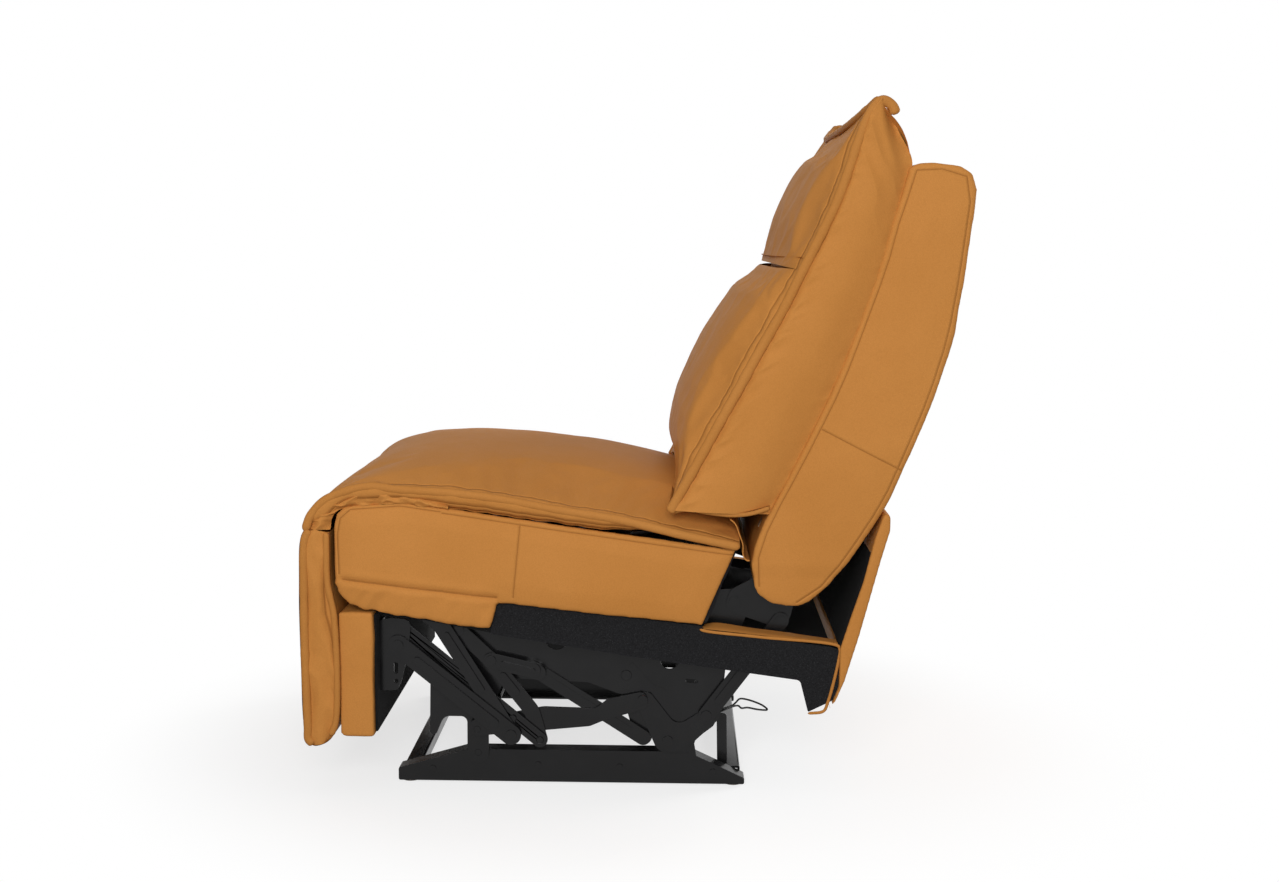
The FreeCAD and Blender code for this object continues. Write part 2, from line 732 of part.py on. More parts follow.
def back_shell():
    body = new_body("back_shell")
    reach = f"{cell('panel_face')} - {cell('panel_thick')}"
    build_out(body, [rounded(SHELL)], f"-({reach})", reach)
    wall = size("shell_wall")
    inside = rounded([
        (150, 280), (150, 385), (270, 640), (370, size("shell_top") - 8 - wall),
        (506 - wall, size("shell_top") - wall, 16),
        (488 - wall, 745, 800), (398 - wall, 476, 700), (292 - wall, 340, 20), (264, 280),
    ])
    reach = f"{reach} - {cell('shell_wall')}"
    build_out(body, [inside], f"-({reach})", reach, cut=True)


def back_frame():
    body = new_body("back_frame")
    outer = f"{layer(3)}"
    inner = f"{outer} - {cell('board_thick')}"
    front = [add(p, (2.75, 0)) for p in BACK_LINE]
    foot = between(front[0], front[1], 0.04)
    stile = rounded([foot] + front[1:] + [add(front[3], (34, 0)), add(foot, (48, 0))])
    build_out(body, [stile], inner, outer, 1)
    build_out(body, [rounded([(385, 892), (412, 892), (424, 928), (397, 928)])], f"-({outer})", inner)
    build_out(body, [stile], inner, outer, -1)
    build_out(body, [rounded([(208, 446), (225, 480), (247, 480), (238, 446)])], f"-({inner})", inner)


back_shell()
back_frame()

# Straps and springs


def back_webbing():
    count = int(size("strap_count"))
    width, thick = size("strap_width"), size("strap_thick")
    reach = value(layer(3))
    straps = []
    for i in range(count):
        low, high = BACK_LINE[i // 2], BACK_LINE[i // 2 + 1]
        y, z = between(low, high, (0.28, 0.74)[i % 2] if i < 4 else 0.5)
        strap = Part.makeBox(2 * reach, thick, width, Vector(-reach, 0, -width / 2))
        lean = math.degrees(math.atan2(high[0] - low[0], high[1] - low[1]))
        strap.rotate(Vector(0, 0, 0), Vector(1, 0, 0), -lean)
        strap.translate(Vector(0, y + 0.1, z))
        straps.append(strap)
    new_feature("back_webbing", Part.makeCompound(straps))


def seat_springs():
    """Zigzag springs from the front rail to the rear rail, flat in the seat's slope."""
    wire = size("spring_wire")
    count = int(size("spring_count"))
    front, rear = (-424.2, 420.0), (103.0, 372.0)
    turns = 12
    swing = 20.0
    length = math.dist(front, rear)
    springs = []
    for n in range(count):
        x0 = (n - (count - 1) / 2) * 105.0
        zigzag = [(length * (i + 0.5) / turns, swing * (-1) ** i) for i in range(turns)]
        line = [(wire / 2 + 0.3, 0.0)] + zigzag + [(length - wire / 2 - 0.3, 0.0)]
        edges = [e.toShape() for e in strip(line, wire / 2)]
        face = Part.Face(Part.Wire(Part.__sortEdges__(edges)))
        spring = face.extrude(Vector(0, 0, wire))
        spring.rotate(Vector(0, 0, 0), Vector(0, 0, 1), 90)
        spring.rotate(Vector(0, 0, 0), Vector(1, 0, 0), math.degrees(math.atan2(rear[1] - front[1], rear[0] - front[0])))
        spring.translate(Vector(x0, front[0], front[1]))
        springs.append(spring)
    new_feature("seat_springs", Part.makeCompound(springs))


back_webbing()
seat_springs()

# Cushions


def section(x, points):
    """Closed wire at X = x. A point marked "via" bends the edge that it lies on into an arc."""
    edges = []
    n = len(points)
    i = 0
    while i < n:
        start = Vector(x, *points[i][:2])
        following = points[(i + 1) % n]
        if len(following) > 2:
            end = Vector(x, *points[(i + 2) % n][:2])
            edges.append(Part.Arc(start, Vector(x, *following[:2]), end).toShape())
            i += 2
        else:
            edges.append(Part.LineSegment(start, Vector(x, *following[:2])).toShape())
            i += 1
    return Part.Wire(edges)


def cushion(label, half, shape, steps=(1.0, 0.97, 0.88, 0.62, 0.3, 0.0)):
    """Crowned cushion: side sections that grow from the sewn edge to the middle."""
    places = [-s for s in steps] + [s for s in reversed(steps)][1:]
    wires = [section(half * s, shape(crown(abs(s)))) for s in places]
    new_feature(label, Part.makeLoft(wires, True, True))


def crown(share):
    return 1 - share ** 3


def mixed(edge, middle, c):
    return (edge[0] + (middle[0] - edge[0]) * c, edge[1] + (middle[1] - edge[1]) * c)


def seat_shape(c):
    up = size("seat_crown")
    gap = size("soft_gap")
    return [
        (-499 - 6 * c, 419.5 + gap),
        (*mixed((-486, 452), (-484, 462), c), "via"),
        mixed((-430, 478), (-400, 482 + up), c),
        (*mixed((-200, 470), (-150, 484 + up), c), "via"),
        mixed((80, 424), (60, 455 + up), c),
        mixed((160, 406), (160, 424), c),
        (158, 393 + gap),
        (-293, 454 + gap),
        (-354, 462 + gap),
        (-438, 456 + gap),
        (-458, 441 + gap),
        (-461, 419.5 + gap),
    ]


FOLD_EDGE, FOLD_MIDDLE = (246.0, 817.0), (203.0, 822.0)
SHELL_TOP = (400.0, 966.0)


def back_shape(c):
    out = size("lumbar_crown")
    gap = size("soft_gap")
    return [
        mixed((60, 458), (62, 494), c),
        (*mixed((104, 548), (104 - out * 0.68, 548), c), "via"),
        mixed((160, 654), (160 - out, 640), c),
        (*mixed((204, 734), (204 - out * 0.92, 730), c), "via"),
        mixed(FOLD_EDGE, FOLD_MIDDLE, c),
        SHELL_TOP,
        (393 - gap, 934),
        (361 - gap, 826),
        (292 - gap, 632),
        (186 - gap, 410),
        (170, 432),
    ]


def headrest_shape(c):
    out = size("headrest_crown")
    top = size("back_top")
    lift = size("headrest_gap")
    return [
        mixed((FOLD_EDGE[0] + 1, FOLD_EDGE[1] + lift + 0.9), (FOLD_MIDDLE[0] + 1, FOLD_MIDDLE[1] + lift + 0.9), c),
        (*mixed((292, 912), (292 - out, 934), c), "via"),
        mixed((346, top - 10), (322, top - 32), c),
        mixed((361, top - 1), (337, top - 30), c),
        (*mixed((388, top - 40), (378, top - 52), c), "via"),
        (SHELL_TOP[0] + 4, SHELL_TOP[1] + lift + 12),
        (SHELL_TOP[0] - 6, SHELL_TOP[1] + lift),
    ]


def pad_shape(c):
    front = -507.0 - size("pad_crown") * c
    back = -507.0 + size("pad_thick")
    box = BOX_BACK - BOARD - 52 - size("soft_gap")
    return [
        (box, 120), (-462, 96), (-470, 86), (-490, 84),
        (front + 4, 90), (*(front - 1, 250), "via"), (front + 2, 404), (front + 8, 417), (back, 417), (back, 330),
        (box, 288),
    ]


cushion("seat_cushion", size("cushion_half_width"), seat_shape)
cushion("back_cushion", size("cushion_half_width"), back_shape)
cushion("headrest_cushion", size("cushion_half_width"), headrest_shape)
cushion("footrest_pad", size("cushion_half_width"), pad_shape)

# Build, check and write

doc.recompute()
os.makedirs("parts", exist_ok=True)
faults = [f"{o.Label}: {o.State}" for o in doc.Objects if "Invalid" in o.State or "Error" in o.State]
nodes = [o for o in doc.Objects if o.TypeId in ("PartDesign::Body", "Part::Feature") and o.Label != "Body"]
for node in nodes:
    if node.Shape.isNull() or not node.Shape.isValid() or not node.Shape.Solids:
        faults.append(f"{node.Label}: no valid solid")
if faults:
    raise RuntimeError("; ".join(faults))
for node in nodes:
    node.Shape.exportStep(f"parts/{node.Label}.step")
box = Part.makeCompound([n.Shape for n in nodes]).BoundBox
print(f"{len(nodes)} nodes, X {box.XMin:.1f} {box.XMax:.1f}, Y {box.YMin:.1f} {box.YMax:.1f}, Z {box.ZMin:.1f} {box.ZMax:.1f}")
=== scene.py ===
import math

import bmesh
import bpy
import numpy as np
from mathutils import Matrix, Vector, noise


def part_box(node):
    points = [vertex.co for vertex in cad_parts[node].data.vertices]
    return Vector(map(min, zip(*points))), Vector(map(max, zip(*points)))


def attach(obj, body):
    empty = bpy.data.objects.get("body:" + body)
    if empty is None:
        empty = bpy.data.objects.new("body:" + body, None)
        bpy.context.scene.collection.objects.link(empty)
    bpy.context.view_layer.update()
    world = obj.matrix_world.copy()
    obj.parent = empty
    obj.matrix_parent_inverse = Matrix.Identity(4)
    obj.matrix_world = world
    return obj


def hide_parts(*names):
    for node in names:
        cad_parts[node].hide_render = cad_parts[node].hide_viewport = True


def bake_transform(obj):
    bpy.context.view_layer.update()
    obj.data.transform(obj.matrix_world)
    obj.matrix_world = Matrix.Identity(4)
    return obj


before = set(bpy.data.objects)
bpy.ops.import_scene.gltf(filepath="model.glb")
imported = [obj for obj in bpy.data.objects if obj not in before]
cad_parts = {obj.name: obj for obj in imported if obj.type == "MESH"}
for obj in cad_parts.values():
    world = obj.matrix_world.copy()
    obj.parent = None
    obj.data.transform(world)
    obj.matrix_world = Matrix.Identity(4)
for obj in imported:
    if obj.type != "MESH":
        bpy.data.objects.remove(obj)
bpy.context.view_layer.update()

# Sizes are in metres, and profiles are (y, z) points in millimetres turned into metres by yz().

SHIFT = 0.006  # the profiles are measured from a point this far behind the frame's origin
HALF = 0.318  # half the seat's width
BACK_HALF = 0.3165  # half the width of the back cushion and the headrest between their rims
PAD_HALF = 0.3175  # half the width of the footrest pad
HELD_FROM = 0.309  # outside this distance from the middle, seams hold the leather
SIDES = (1, -1)  # the sitter's left, then right
SIDE_WORD = {1: "left", -1: "right"}


def yz(points):
    """Profile points (y, z) in millimetres, turned into metres in the frame's axes."""
    return [((y / 1000) + SHIFT, z / 1000) for y, z in points]


# Curves and surfaces

def along(p):
    """Distance from the first point of a line to each of its points."""
    return np.concatenate([[0], np.cumsum(np.linalg.norm(np.diff(p, axis=0), axis=1))])


def resample(points, n):
    """n points, evenly spaced, along the centripetal Catmull-Rom curve through the given points."""
    p = np.array(points, float)
    if len(p) > 2:
        ends = np.vstack([2 * p[0] - p[1], p, 2 * p[-1] - p[-2]])
        dense = []
        for i in range(1, len(ends) - 2):
            a, b, c, d = ends[i - 1 : i + 3]
            ta = 0.0
            tb = ta + max(1e-9, np.linalg.norm(b - a)) ** 0.5
            tc = tb + max(1e-9, np.linalg.norm(c - b)) ** 0.5
            td = tc + max(1e-9, np.linalg.norm(d - c)) ** 0.5
            t = np.linspace(tb, tc, 24, endpoint=False)[:, None]
            p1 = (tb - t) / (tb - ta) * a + (t - ta) / (tb - ta) * b
            p2 = (tc - t) / (tc - tb) * b + (t - tb) / (tc - tb) * c
            p3 = (td - t) / (td - tc) * c + (t - tc) / (td - tc) * d
            q1 = (tc - t) / (tc - ta) * p1 + (t - ta) / (tc - ta) * p2
            q2 = (td - t) / (td - tb) * p2 + (t - tb) / (td - tb) * p3
            dense.append((tc - t) / (tc - tb) * q1 + (t - tb) / (tc - tb) * q2)
        p = np.vstack(dense + [p[-1:]])
    s = along(p)
    t = np.linspace(0, s[-1], n)
    return np.stack([np.interp(t, s, p[:, k]) for k in range(p.shape[1])], axis=1)


def net(rows, nu, nv):
    """Smooth surface through rows of control points, evenly spaced: an array (nv, nu, 3)."""
    curves = np.array([resample(r, nu) for r in rows])
    out = np.empty((nv, nu, 3))
    for j in range(nu):
        col = resample(curves[:, j], nv * 2)
        s = along(col)
        keep = np.interp(np.linspace(0, 1, nv), np.linspace(0, 1, len(s)), s)
        out[:, j] = np.stack([np.interp(keep, s, col[:, k]) for k in range(3)], axis=1)
    return out


def normals(p):
    """Unit normal at each point of a surface."""
    du = np.gradient(p, axis=1)
    dv = np.gradient(p, axis=0)
    n = np.cross(du, dv)
    return n / np.maximum(1e-12, np.linalg.norm(n, axis=2, keepdims=True))


def fractal(points, scale, stretch=(1, 1, 1), seed=0.0, octaves=3):
    """Smooth noise at each point, about -1 to 1."""
    flat = points.reshape(-1, 3) * np.array(stretch) * scale + seed
    value = np.zeros(len(flat))
    for i, q in enumerate(flat):
        value[i] = noise.fractal(Vector(q), 1.0, 2.0, octaves)
    return value.reshape(points.shape[:-1])


def lerp(a, b, t):
    """The value t of the way from a to b."""
    return a + (b - a) * t


def mirrored(rows):
    """Rows of points from one side to the middle, and the same rows back on the other side."""
    rows = [np.array(r, float) for r in rows]
    return rows + [r * (-1, 1, 1) for r in rows[-2::-1]]


def pushed(p, amount):
    """A surface moved along its normals."""
    return p + normals(p) * amount[..., None]


def pushed_out(p, side, amount):
    """A surface moved away from the middle of the seat."""
    return p + np.array([side, 0, 0]) * amount[..., None]


def shade_smooth(mesh):
    """Shades every face of a mesh smooth."""
    mesh.polygons.foreach_set("use_smooth", [True] * len(mesh.polygons))


def mesh_from(name, verts, faces, smooth=True):
    """New object from points and faces."""
    mesh = bpy.data.meshes.new(name)
    mesh.from_pydata([tuple(v) for v in verts], [], faces)
    mesh.validate()
    obj = bpy.data.objects.new(name, mesh)
    bpy.context.scene.collection.objects.link(obj)
    if smooth:
        shade_smooth(mesh)
    return obj


def grid(name, p):
    """New object from a surface of points."""
    nv, nu = p.shape[:2]
    faces = []
    for i in range(nv - 1):
        for j in range(nu - 1):
            faces.append((i * nu + j, i * nu + j + 1, (i + 1) * nu + j + 1, (i + 1) * nu + j))
    return mesh_from(name, p.reshape(-1, 3), faces)


ROUNDED_END = (0.35, 0.75, 0.93)  # share of a cord's radius at its last three rings


def sweep(name, points, radius, n, sides=12, flat=1.0, wobble=0.0, seed=0.0):
    """Round cord of n rings along a curve, with rounded ends. flat squeezes it, wobble varies its radius."""
    p = resample(points, n)
    t = np.gradient(p, axis=0)
    t /= np.linalg.norm(t, axis=1, keepdims=True)
    ref = np.array([1.0, 0, 0])
    verts, faces = [], []
    for i in range(n):
        a = np.cross(t[i], ref)
        if np.linalg.norm(a) < 1e-3:
            a = np.cross(t[i], [0, 1.0, 0])
        a /= np.linalg.norm(a)
        b = np.cross(a, t[i])
        r = radius * (1 + wobble * noise.noise(Vector(p[i] * 60 + seed)))
        end = min(i, n - 1 - i)
        r *= ROUNDED_END[end] if end < len(ROUNDED_END) else 1
        for k in range(sides):
            w = 2 * math.pi * k / sides
            verts.append(p[i] + (a * math.cos(w) + b * math.sin(w) * flat) * r)
    for i in range(n - 1):
        for k in range(sides):
            m = (k + 1) % sides
            faces.append((i * sides + k, (i + 1) * sides + k, (i + 1) * sides + m, i * sides + m))
    faces.append(tuple(range(sides)))
    faces.append(tuple((n - 1) * sides + k for k in reversed(range(sides))))
    return mesh_from(name, verts, faces)


def join(name, objs):
    """One object from several, with their materials."""
    bm = bmesh.new()
    for o in objs:
        bm.from_mesh(o.data)
    mesh = bpy.data.meshes.new(name)
    bm.to_mesh(mesh)
    bm.free()
    for o in objs:
        for m in o.data.materials:
            if m and m.name not in [x.name for x in mesh.materials]:
                mesh.materials.append(m)
        bpy.data.objects.remove(o)
    obj = bpy.data.objects.new(name, mesh)
    bpy.context.scene.collection.objects.link(obj)
    return obj


def face_outward(mesh, weld=0.0):
    """Turns the faces outward, after joining points closer than weld."""
    bm = bmesh.new()
    bm.from_mesh(mesh)
    if weld:
        bmesh.ops.remove_doubles(bm, verts=bm.verts, dist=weld)
    bmesh.ops.recalc_face_normals(bm, faces=bm.faces)
    bm.to_mesh(mesh)
    bm.free()


def apply_modifiers(obj):
    """Turns an object's evaluated shape into its mesh."""
    bpy.context.view_layer.update()
    dg = bpy.context.evaluated_depsgraph_get()
    done = bpy.data.meshes.new_from_object(obj.evaluated_get(dg))
    obj.modifiers.clear()
    obj.data = done


def slab(name, outline, x0, x1, voxel, smooth):
    """Padded board: a side outline built out from x0 to x1 and rounded over."""
    n = len(outline)
    verts = [(x0, y, z) for y, z in outline] + [(x1, y, z) for y, z in outline]
    faces = [tuple(range(n)), tuple(reversed(range(n, 2 * n)))]
    faces += [(i, n + i, n + (i + 1) % n, (i + 1) % n) for i in range(n)]
    obj = mesh_from(name, verts, faces, smooth=False)
    face_outward(obj.data)
    remesh = obj.modifiers.new("remesh", "REMESH")
    remesh.mode = "VOXEL"
    remesh.voxel_size = voxel
    soft = obj.modifiers.new("soft", "SMOOTH")
    soft.factor = 0.5
    soft.iterations = smooth
    apply_modifiers(obj)
    shade_smooth(obj.data)
    return obj


def per_vertex(obj, what="co"):
    """Place or normal of each vertex, as an array (n, 3)."""
    values = np.empty(len(obj.data.vertices) * 3)
    obj.data.vertices.foreach_get(what, values)
    return values.reshape(-1, 3)


def place_vertices(obj, co):
    """Puts an object's vertices at the places of an array (n, 3)."""
    obj.data.vertices.foreach_set("co", co.ravel())
    obj.data.update()


def move(obj, amount):
    """Moves each vertex along its normal by amount."""
    place_vertices(obj, per_vertex(obj) + per_vertex(obj, "normal") * amount[:, None])


def distance_to(points, line):
    """Distance in the Y, Z plane from points (n, 2) to a polyline."""
    best = np.full(len(points), 1e9)
    for a, b in zip(line[:-1], line[1:]):
        a, b = np.array(a), np.array(b)
        d = b - a
        t = np.clip(((points - a) @ d) / (d @ d), 0, 1)
        best = np.minimum(best, np.linalg.norm(points - (a + t[:, None] * d), axis=1))
    return best


def groove(d, width, depth):
    """Sewn crease at distance d from a seam: a narrow dip with soft shoulders."""
    shoulder = (d - 2.2 * width) / (1.6 * width)
    return -depth * np.exp(-((d / width) ** 2)) + 0.35 * depth * np.exp(-(shoulder ** 2))


def crease(points, scale, stretch, seed, octaves=3):
    """Sharp-edged folds, about -1 to 1."""
    return 1 - 2.6 * np.abs(fractal(points, scale, stretch, seed, octaves))


CLOTH = {
    "quality": 4, "mass": 0.5, "tension_stiffness": 30, "compression_stiffness": 30, "shear_stiffness": 10,
    "bending_stiffness": 4, "air_damping": 3, "use_pressure": True, "uniform_pressure_force": 2.0,
}
CLOTH_FRAMES = 14


def settle(obj, held, spare, cap):
    """Leather held along its seams fills out and puckers under pressure, by cloth simulation.

    spare is the share of extra leather, and cap the farthest that any point goes."""
    start = per_vertex(obj)
    group = obj.vertex_groups.new(name="held")
    group.add([int(i) for i in np.flatnonzero(held)], 1.0, "REPLACE")
    cloth = obj.modifiers.new("cloth", "CLOTH")
    for key, value in CLOTH.items():
        setattr(cloth.settings, key, value)
    cloth.settings.effector_weights.gravity = 0
    cloth.settings.vertex_group_mass = "held"
    cloth.settings.shrink_min = cloth.settings.shrink_max = -spare
    cloth.collision_settings.use_collision = False
    cloth.point_cache.frame_start = 1
    cloth.point_cache.frame_end = CLOTH_FRAMES
    scene = bpy.context.scene
    for f in range(1, CLOTH_FRAMES + 1):
        scene.frame_set(f)
    apply_modifiers(obj)
    scene.frame_set(1)
    moved = per_vertex(obj) - start
    far = np.linalg.norm(moved, axis=1, keepdims=True)
    place_vertices(obj, start + moved * np.minimum(1, cap / np.maximum(far, 1e-9)))
    shade_smooth(obj.data)
    finer = obj.modifiers.new("finer", "SUBSURF")
    finer.levels = finer.render_levels = 1
    return obj


def seam_mask(p, x=HELD_FROM):
    """Points of a surface that its seams hold: both sides from x outward, and both ends."""
    held = np.abs(p[..., 0]) > x
    held[:, :2] = held[:, -2:] = True
    return held.ravel()


# Materials

TAN_DARK, TAN_LIGHT = (0.535, 0.224, 0.052), (0.585, 0.250, 0.062)
# The second colour darkens each seam's stitch line and is also painted shade at the bottom of the seam's crease.
PORE_SHADE, SEAM_LINE_AND_SHADE = (0.62, 0.55, 0.5), (0.42, 0.34, 0.28)
BLACK_PAINT = (0.0035, 0.0034, 0.0036)
PAINT_ROUGHNESS = 0.2
FELT_DARK, FELT_FLECK, FELT_DOT = (0.0045, 0.0045, 0.005), (0.034, 0.034, 0.037), (0.075, 0.075, 0.08)
BOARD_DARK, BOARD_FLECK = (0.003, 0.003, 0.003), (0.010, 0.010, 0.010)
WOOD_PALE, WOOD_DARK = (0.30, 0.19, 0.10), (0.20, 0.12, 0.06)
DIP_HALF_WIDTH, DIP_DEPTH = 0.0032, 0.0013  # the crease along a seam
SEAM_DARK_INNER, SEAM_DARK_OUTER = 0.0003, 0.0012  # the stitch line and painted shade in the dip fade out between these


def material(name):
    """A new material with its node tree and its Principled shader."""
    m = bpy.data.materials.new(name)
    m.use_nodes = True
    return m, m.node_tree, m.node_tree.nodes["Principled BSDF"]


def node(nt, kind, *first, **inputs):
    """A shader node. An input gets a constant or is linked to an output, and p_name sets a property."""
    n = nt.nodes.new(kind)
    for key in [k for k in inputs if k.startswith("p_")]:
        setattr(n, key[2:], inputs.pop(key))
    for key, value in [*enumerate(first), *inputs.items()]:
        socket = n.inputs[key.replace("_", " ") if isinstance(key, str) else key]
        if isinstance(value, bpy.types.NodeSocket):
            nt.links.new(value, socket)
        else:
            socket.default_value = value
    return n


def calc(nt, operation, *values):
    """Result of a math node."""
    return node(nt, "ShaderNodeMath", *values, p_operation=operation).outputs["Value"]


def vector_calc(nt, operation, *values, result="Vector"):
    """Result of a vector math node."""
    return node(nt, "ShaderNodeVectorMath", *values, p_operation=operation).outputs[result]


def noise_texture(nt, place, **inputs):
    """Noise at the shaded point."""
    return node(nt, "ShaderNodeTexNoise", Vector=place, **inputs).outputs["Fac"]


def ramp(nt, factor, low, high, start=0.0, end=1.0):
    """Colour that goes from low to high while the factor goes from start to end."""
    n = node(nt, "ShaderNodeValToRGB", Fac=factor)
    for element, position, color in zip(n.color_ramp.elements, (start, end), (low, high)):
        element.position = position
        element.color = (*color, 1)
    return n.outputs["Color"]


def spread(nt, value, **ends):
    """Value mapped from one range to another, 0 to 1 where an end isn't given."""
    return node(nt, "ShaderNodeMapRange", Value=value, **ends).outputs["Result"]


def bump(nt, height, strength, distance, **under):
    """Normal bent by a height, on top of another bump if one is given."""
    n = node(nt, "ShaderNodeBump", Height=height, Strength=strength, Distance=distance, **under)
    return n.outputs["Normal"]


def multiplied(nt, share, color, shade):
    """Colour multiplied by a shade as far as share says."""
    n = node(nt, "ShaderNodeMixRGB", Fac=share, Color1=color, Color2=shade, p_blend_type="MULTIPLY")
    return n.outputs["Color"]


def shaded_point(nt):
    """The shaded point in the piece's own coordinates, which are the frame's."""
    return node(nt, "ShaderNodeTexCoord").outputs["Object"]


def connect(nt, bsdf, color, normal):
    """Feeds the Principled shader its colour and its normal."""
    nt.links.new(color, bsdf.inputs["Base Color"])
    nt.links.new(normal, bsdf.inputs["Normal"])


def seam_distance(nt, place, seams, across):
    """Distance from a shaded point to the nearest sewn line.

    A seam in seams runs between two (y, z) points, and one in across lies that far from the middle plane."""
    split = node(nt, "ShaderNodeSeparateXYZ", place)
    flat = node(nt, "ShaderNodeCombineXYZ", Y=split.outputs["Y"], Z=split.outputs["Z"]).outputs["Vector"]
    found = []
    for a, b in seams:
        a, b = Vector((0, *a)), Vector((0, *b))
        away = vector_calc(nt, "SUBTRACT", flat, a)
        share = vector_calc(nt, "DOT_PRODUCT", away, (b - a) / (b - a).length_squared, result="Value")
        share = node(nt, "ShaderNodeClamp", Value=share).outputs["Result"]
        along = node(nt, "ShaderNodeVectorMath", b - a, p_operation="SCALE", Scale=share).outputs["Vector"]
        found.append(vector_calc(nt, "DISTANCE", away, along, result="Value"))
    for x in across:
        from_middle = calc(nt, "ABSOLUTE", split.outputs["X"])
        found.append(calc(nt, "ABSOLUTE", calc(nt, "SUBTRACT", from_middle, x)))
    near = found[0]
    for other in found[1:]:
        near = calc(nt, "MINIMUM", near, other)
    return near


def leather(name, tone=1.0, seed=0.0, seams=(), across=()):
    """Tan leather with broad mottling, pores and fine creases, and a dip along each seam, darkened along its middle as
    the stitch line and as painted shade.
    """
    m, nt, bsdf = material(name)
    place = shaded_point(nt)
    mottle = noise_texture(nt, place, Scale=5.0 + seed, Detail=4.0, Roughness=0.55)
    warp = node(nt, "ShaderNodeTexNoise", Vector=place, Scale=180.0, Detail=2.0).outputs["Color"]
    warped = vector_calc(nt, "MULTIPLY_ADD", warp, (0.004, 0.004, 0.004), place)
    grain = node(nt, "ShaderNodeTexVoronoi", Vector=warped, Scale=520.0, Randomness=1.0).outputs["Distance"]
    fine = noise_texture(nt, place, Scale=900.0, Detail=3.0)
    creases = noise_texture(nt, place, Scale=38.0, Detail=5.0, Roughness=0.6, Distortion=0.6)
    soft = bump(nt, creases, 0.10, 0.004)
    normal = bump(nt, calc(nt, "MULTIPLY_ADD", fine, 0.45, grain), 0.22, 0.0006, Normal=soft)
    tan = ramp(nt, mottle, [c * tone for c in TAN_DARK], [c * tone for c in TAN_LIGHT], 0.3, 0.72)
    color = multiplied(nt, 0.22, tan, ramp(nt, grain, (1, 1, 1), PORE_SHADE, 0.05, 0.75))
    if seams or across:
        near = seam_distance(nt, place, seams, across)
        dip = spread(nt, near, From_Max=DIP_HALF_WIDTH, p_interpolation_type="SMOOTHSTEP")
        normal = bump(nt, dip, 0.9, DIP_DEPTH, Normal=normal)
        # darker stitch line with painted shade, in the bottom of the seam's dip
        thread_and_shade = spread(nt, near, From_Min=SEAM_DARK_INNER, From_Max=SEAM_DARK_OUTER, To_Min=0.6, To_Max=0.0)
        color = multiplied(nt, thread_and_shade, color, (*SEAM_LINE_AND_SHADE, 1))
    connect(nt, bsdf, color, normal)
    nt.links.new(spread(nt, creases, To_Min=0.42, To_Max=0.56), bsdf.inputs["Roughness"])
    bsdf.inputs["Specular IOR Level"].default_value = 0.02
    return m


def paint(name):
    """Black powder paint on pressed steel, unevenly glossy."""
    m, nt, bsdf = material(name)
    place = shaded_point(nt)
    broad = noise_texture(nt, place, Scale=22.0, Detail=5.0, Roughness=0.6)
    peel = noise_texture(nt, place, Scale=420.0, Detail=2.0)
    color = ramp(nt, broad, BLACK_PAINT, [c * 1.8 + 0.001 for c in BLACK_PAINT])
    connect(nt, bsdf, color, bump(nt, peel, 0.12, 0.0004))
    gloss = spread(nt, broad, To_Min=PAINT_ROUGHNESS - 0.08, To_Max=PAINT_ROUGHNESS + 0.14)
    nt.links.new(gloss, bsdf.inputs["Roughness"])
    bsdf.inputs["Specular IOR Level"].default_value = 0.24
    return m


def felt(name, base, fleck):
    """Nonwoven felt: matted fibres with pale flecks."""
    m, nt, bsdf = material(name)
    place = shaded_point(nt)
    fibre = noise_texture(nt, place, Scale=520.0, Detail=6.0, Roughness=0.75, Distortion=1.2)
    clump = noise_texture(nt, place, Scale=60.0, Detail=4.0, Roughness=0.7)
    speck = node(nt, "ShaderNodeTexVoronoi", Vector=place, Scale=300.0).outputs["Distance"]
    dots = calc(nt, "MULTIPLY", calc(nt, "LESS_THAN", speck, 0.13), clump)
    matted = ramp(nt, fibre, base, fleck, 0.42, 0.78)
    color = node(nt, "ShaderNodeMixRGB", Fac=dots, Color1=matted, Color2=(*FELT_DOT, 1)).outputs["Color"]
    connect(nt, bsdf, color, bump(nt, fibre, 0.7, 0.002))
    bsdf.inputs["Roughness"].default_value = 0.95
    bsdf.inputs["Specular IOR Level"].default_value = 0.2
    return m


def wood(name):
    """Plywood with a wavy grain."""
    m, nt, bsdf = material(name)
    wave = node(nt, "ShaderNodeTexWave", Vector=shaded_point(nt), Scale=9.0, Distortion=6.0, Detail=3.0)
    rings = wave.outputs["Fac"]
    connect(nt, bsdf, ramp(nt, rings, WOOD_PALE, WOOD_DARK), bump(nt, rings, 0.2, 0.001))
    bsdf.inputs["Roughness"].default_value = 0.7
    return m


def plain(name, color, rough, scale=90.0, metal=0.0):
    """Moulded plastic, webbing or bare wire with faint mottling."""
    m, nt, bsdf = material(name)
    mottle = noise_texture(nt, shaded_point(nt), Scale=scale, Detail=4.0)
    spots = ramp(nt, mottle, [c * 0.75 for c in color], [min(1, c * 1.25) for c in color])
    connect(nt, bsdf, spots, bump(nt, mottle, 0.15, 0.0008))
    bsdf.inputs["Roughness"].default_value = rough
    bsdf.inputs["Metallic"].default_value = metal
    return m


RIM_STITCHES = (0.3045, 0.3135)  # distance from the middle of the stitch lines beside a rim

LEATHER = leather("tan_leather")
SEWN = leather("tan_leather_sewn", across=RIM_STITCHES)
PIPING = leather("tan_leather_piping", tone=0.9, seed=0.7)
STEEL = paint("black_paint")
FELT = felt("black_felt", FELT_DARK, FELT_FLECK)
BOARD = felt("black_board", BOARD_DARK, BOARD_FLECK)
WOOD = wood("plywood")
WEB = plain("webbing", (0.03, 0.03, 0.03), 0.85, 300.0)
SPRING = plain("spring_wire", (0.20, 0.20, 0.21), 0.38, 60.0, 1.0)
BUSH = plain("bush_plastic", (0.42, 0.055, 0.02), 0.45)
GLIDE = plain("glide_plastic", (0.10, 0.085, 0.075), 0.6)


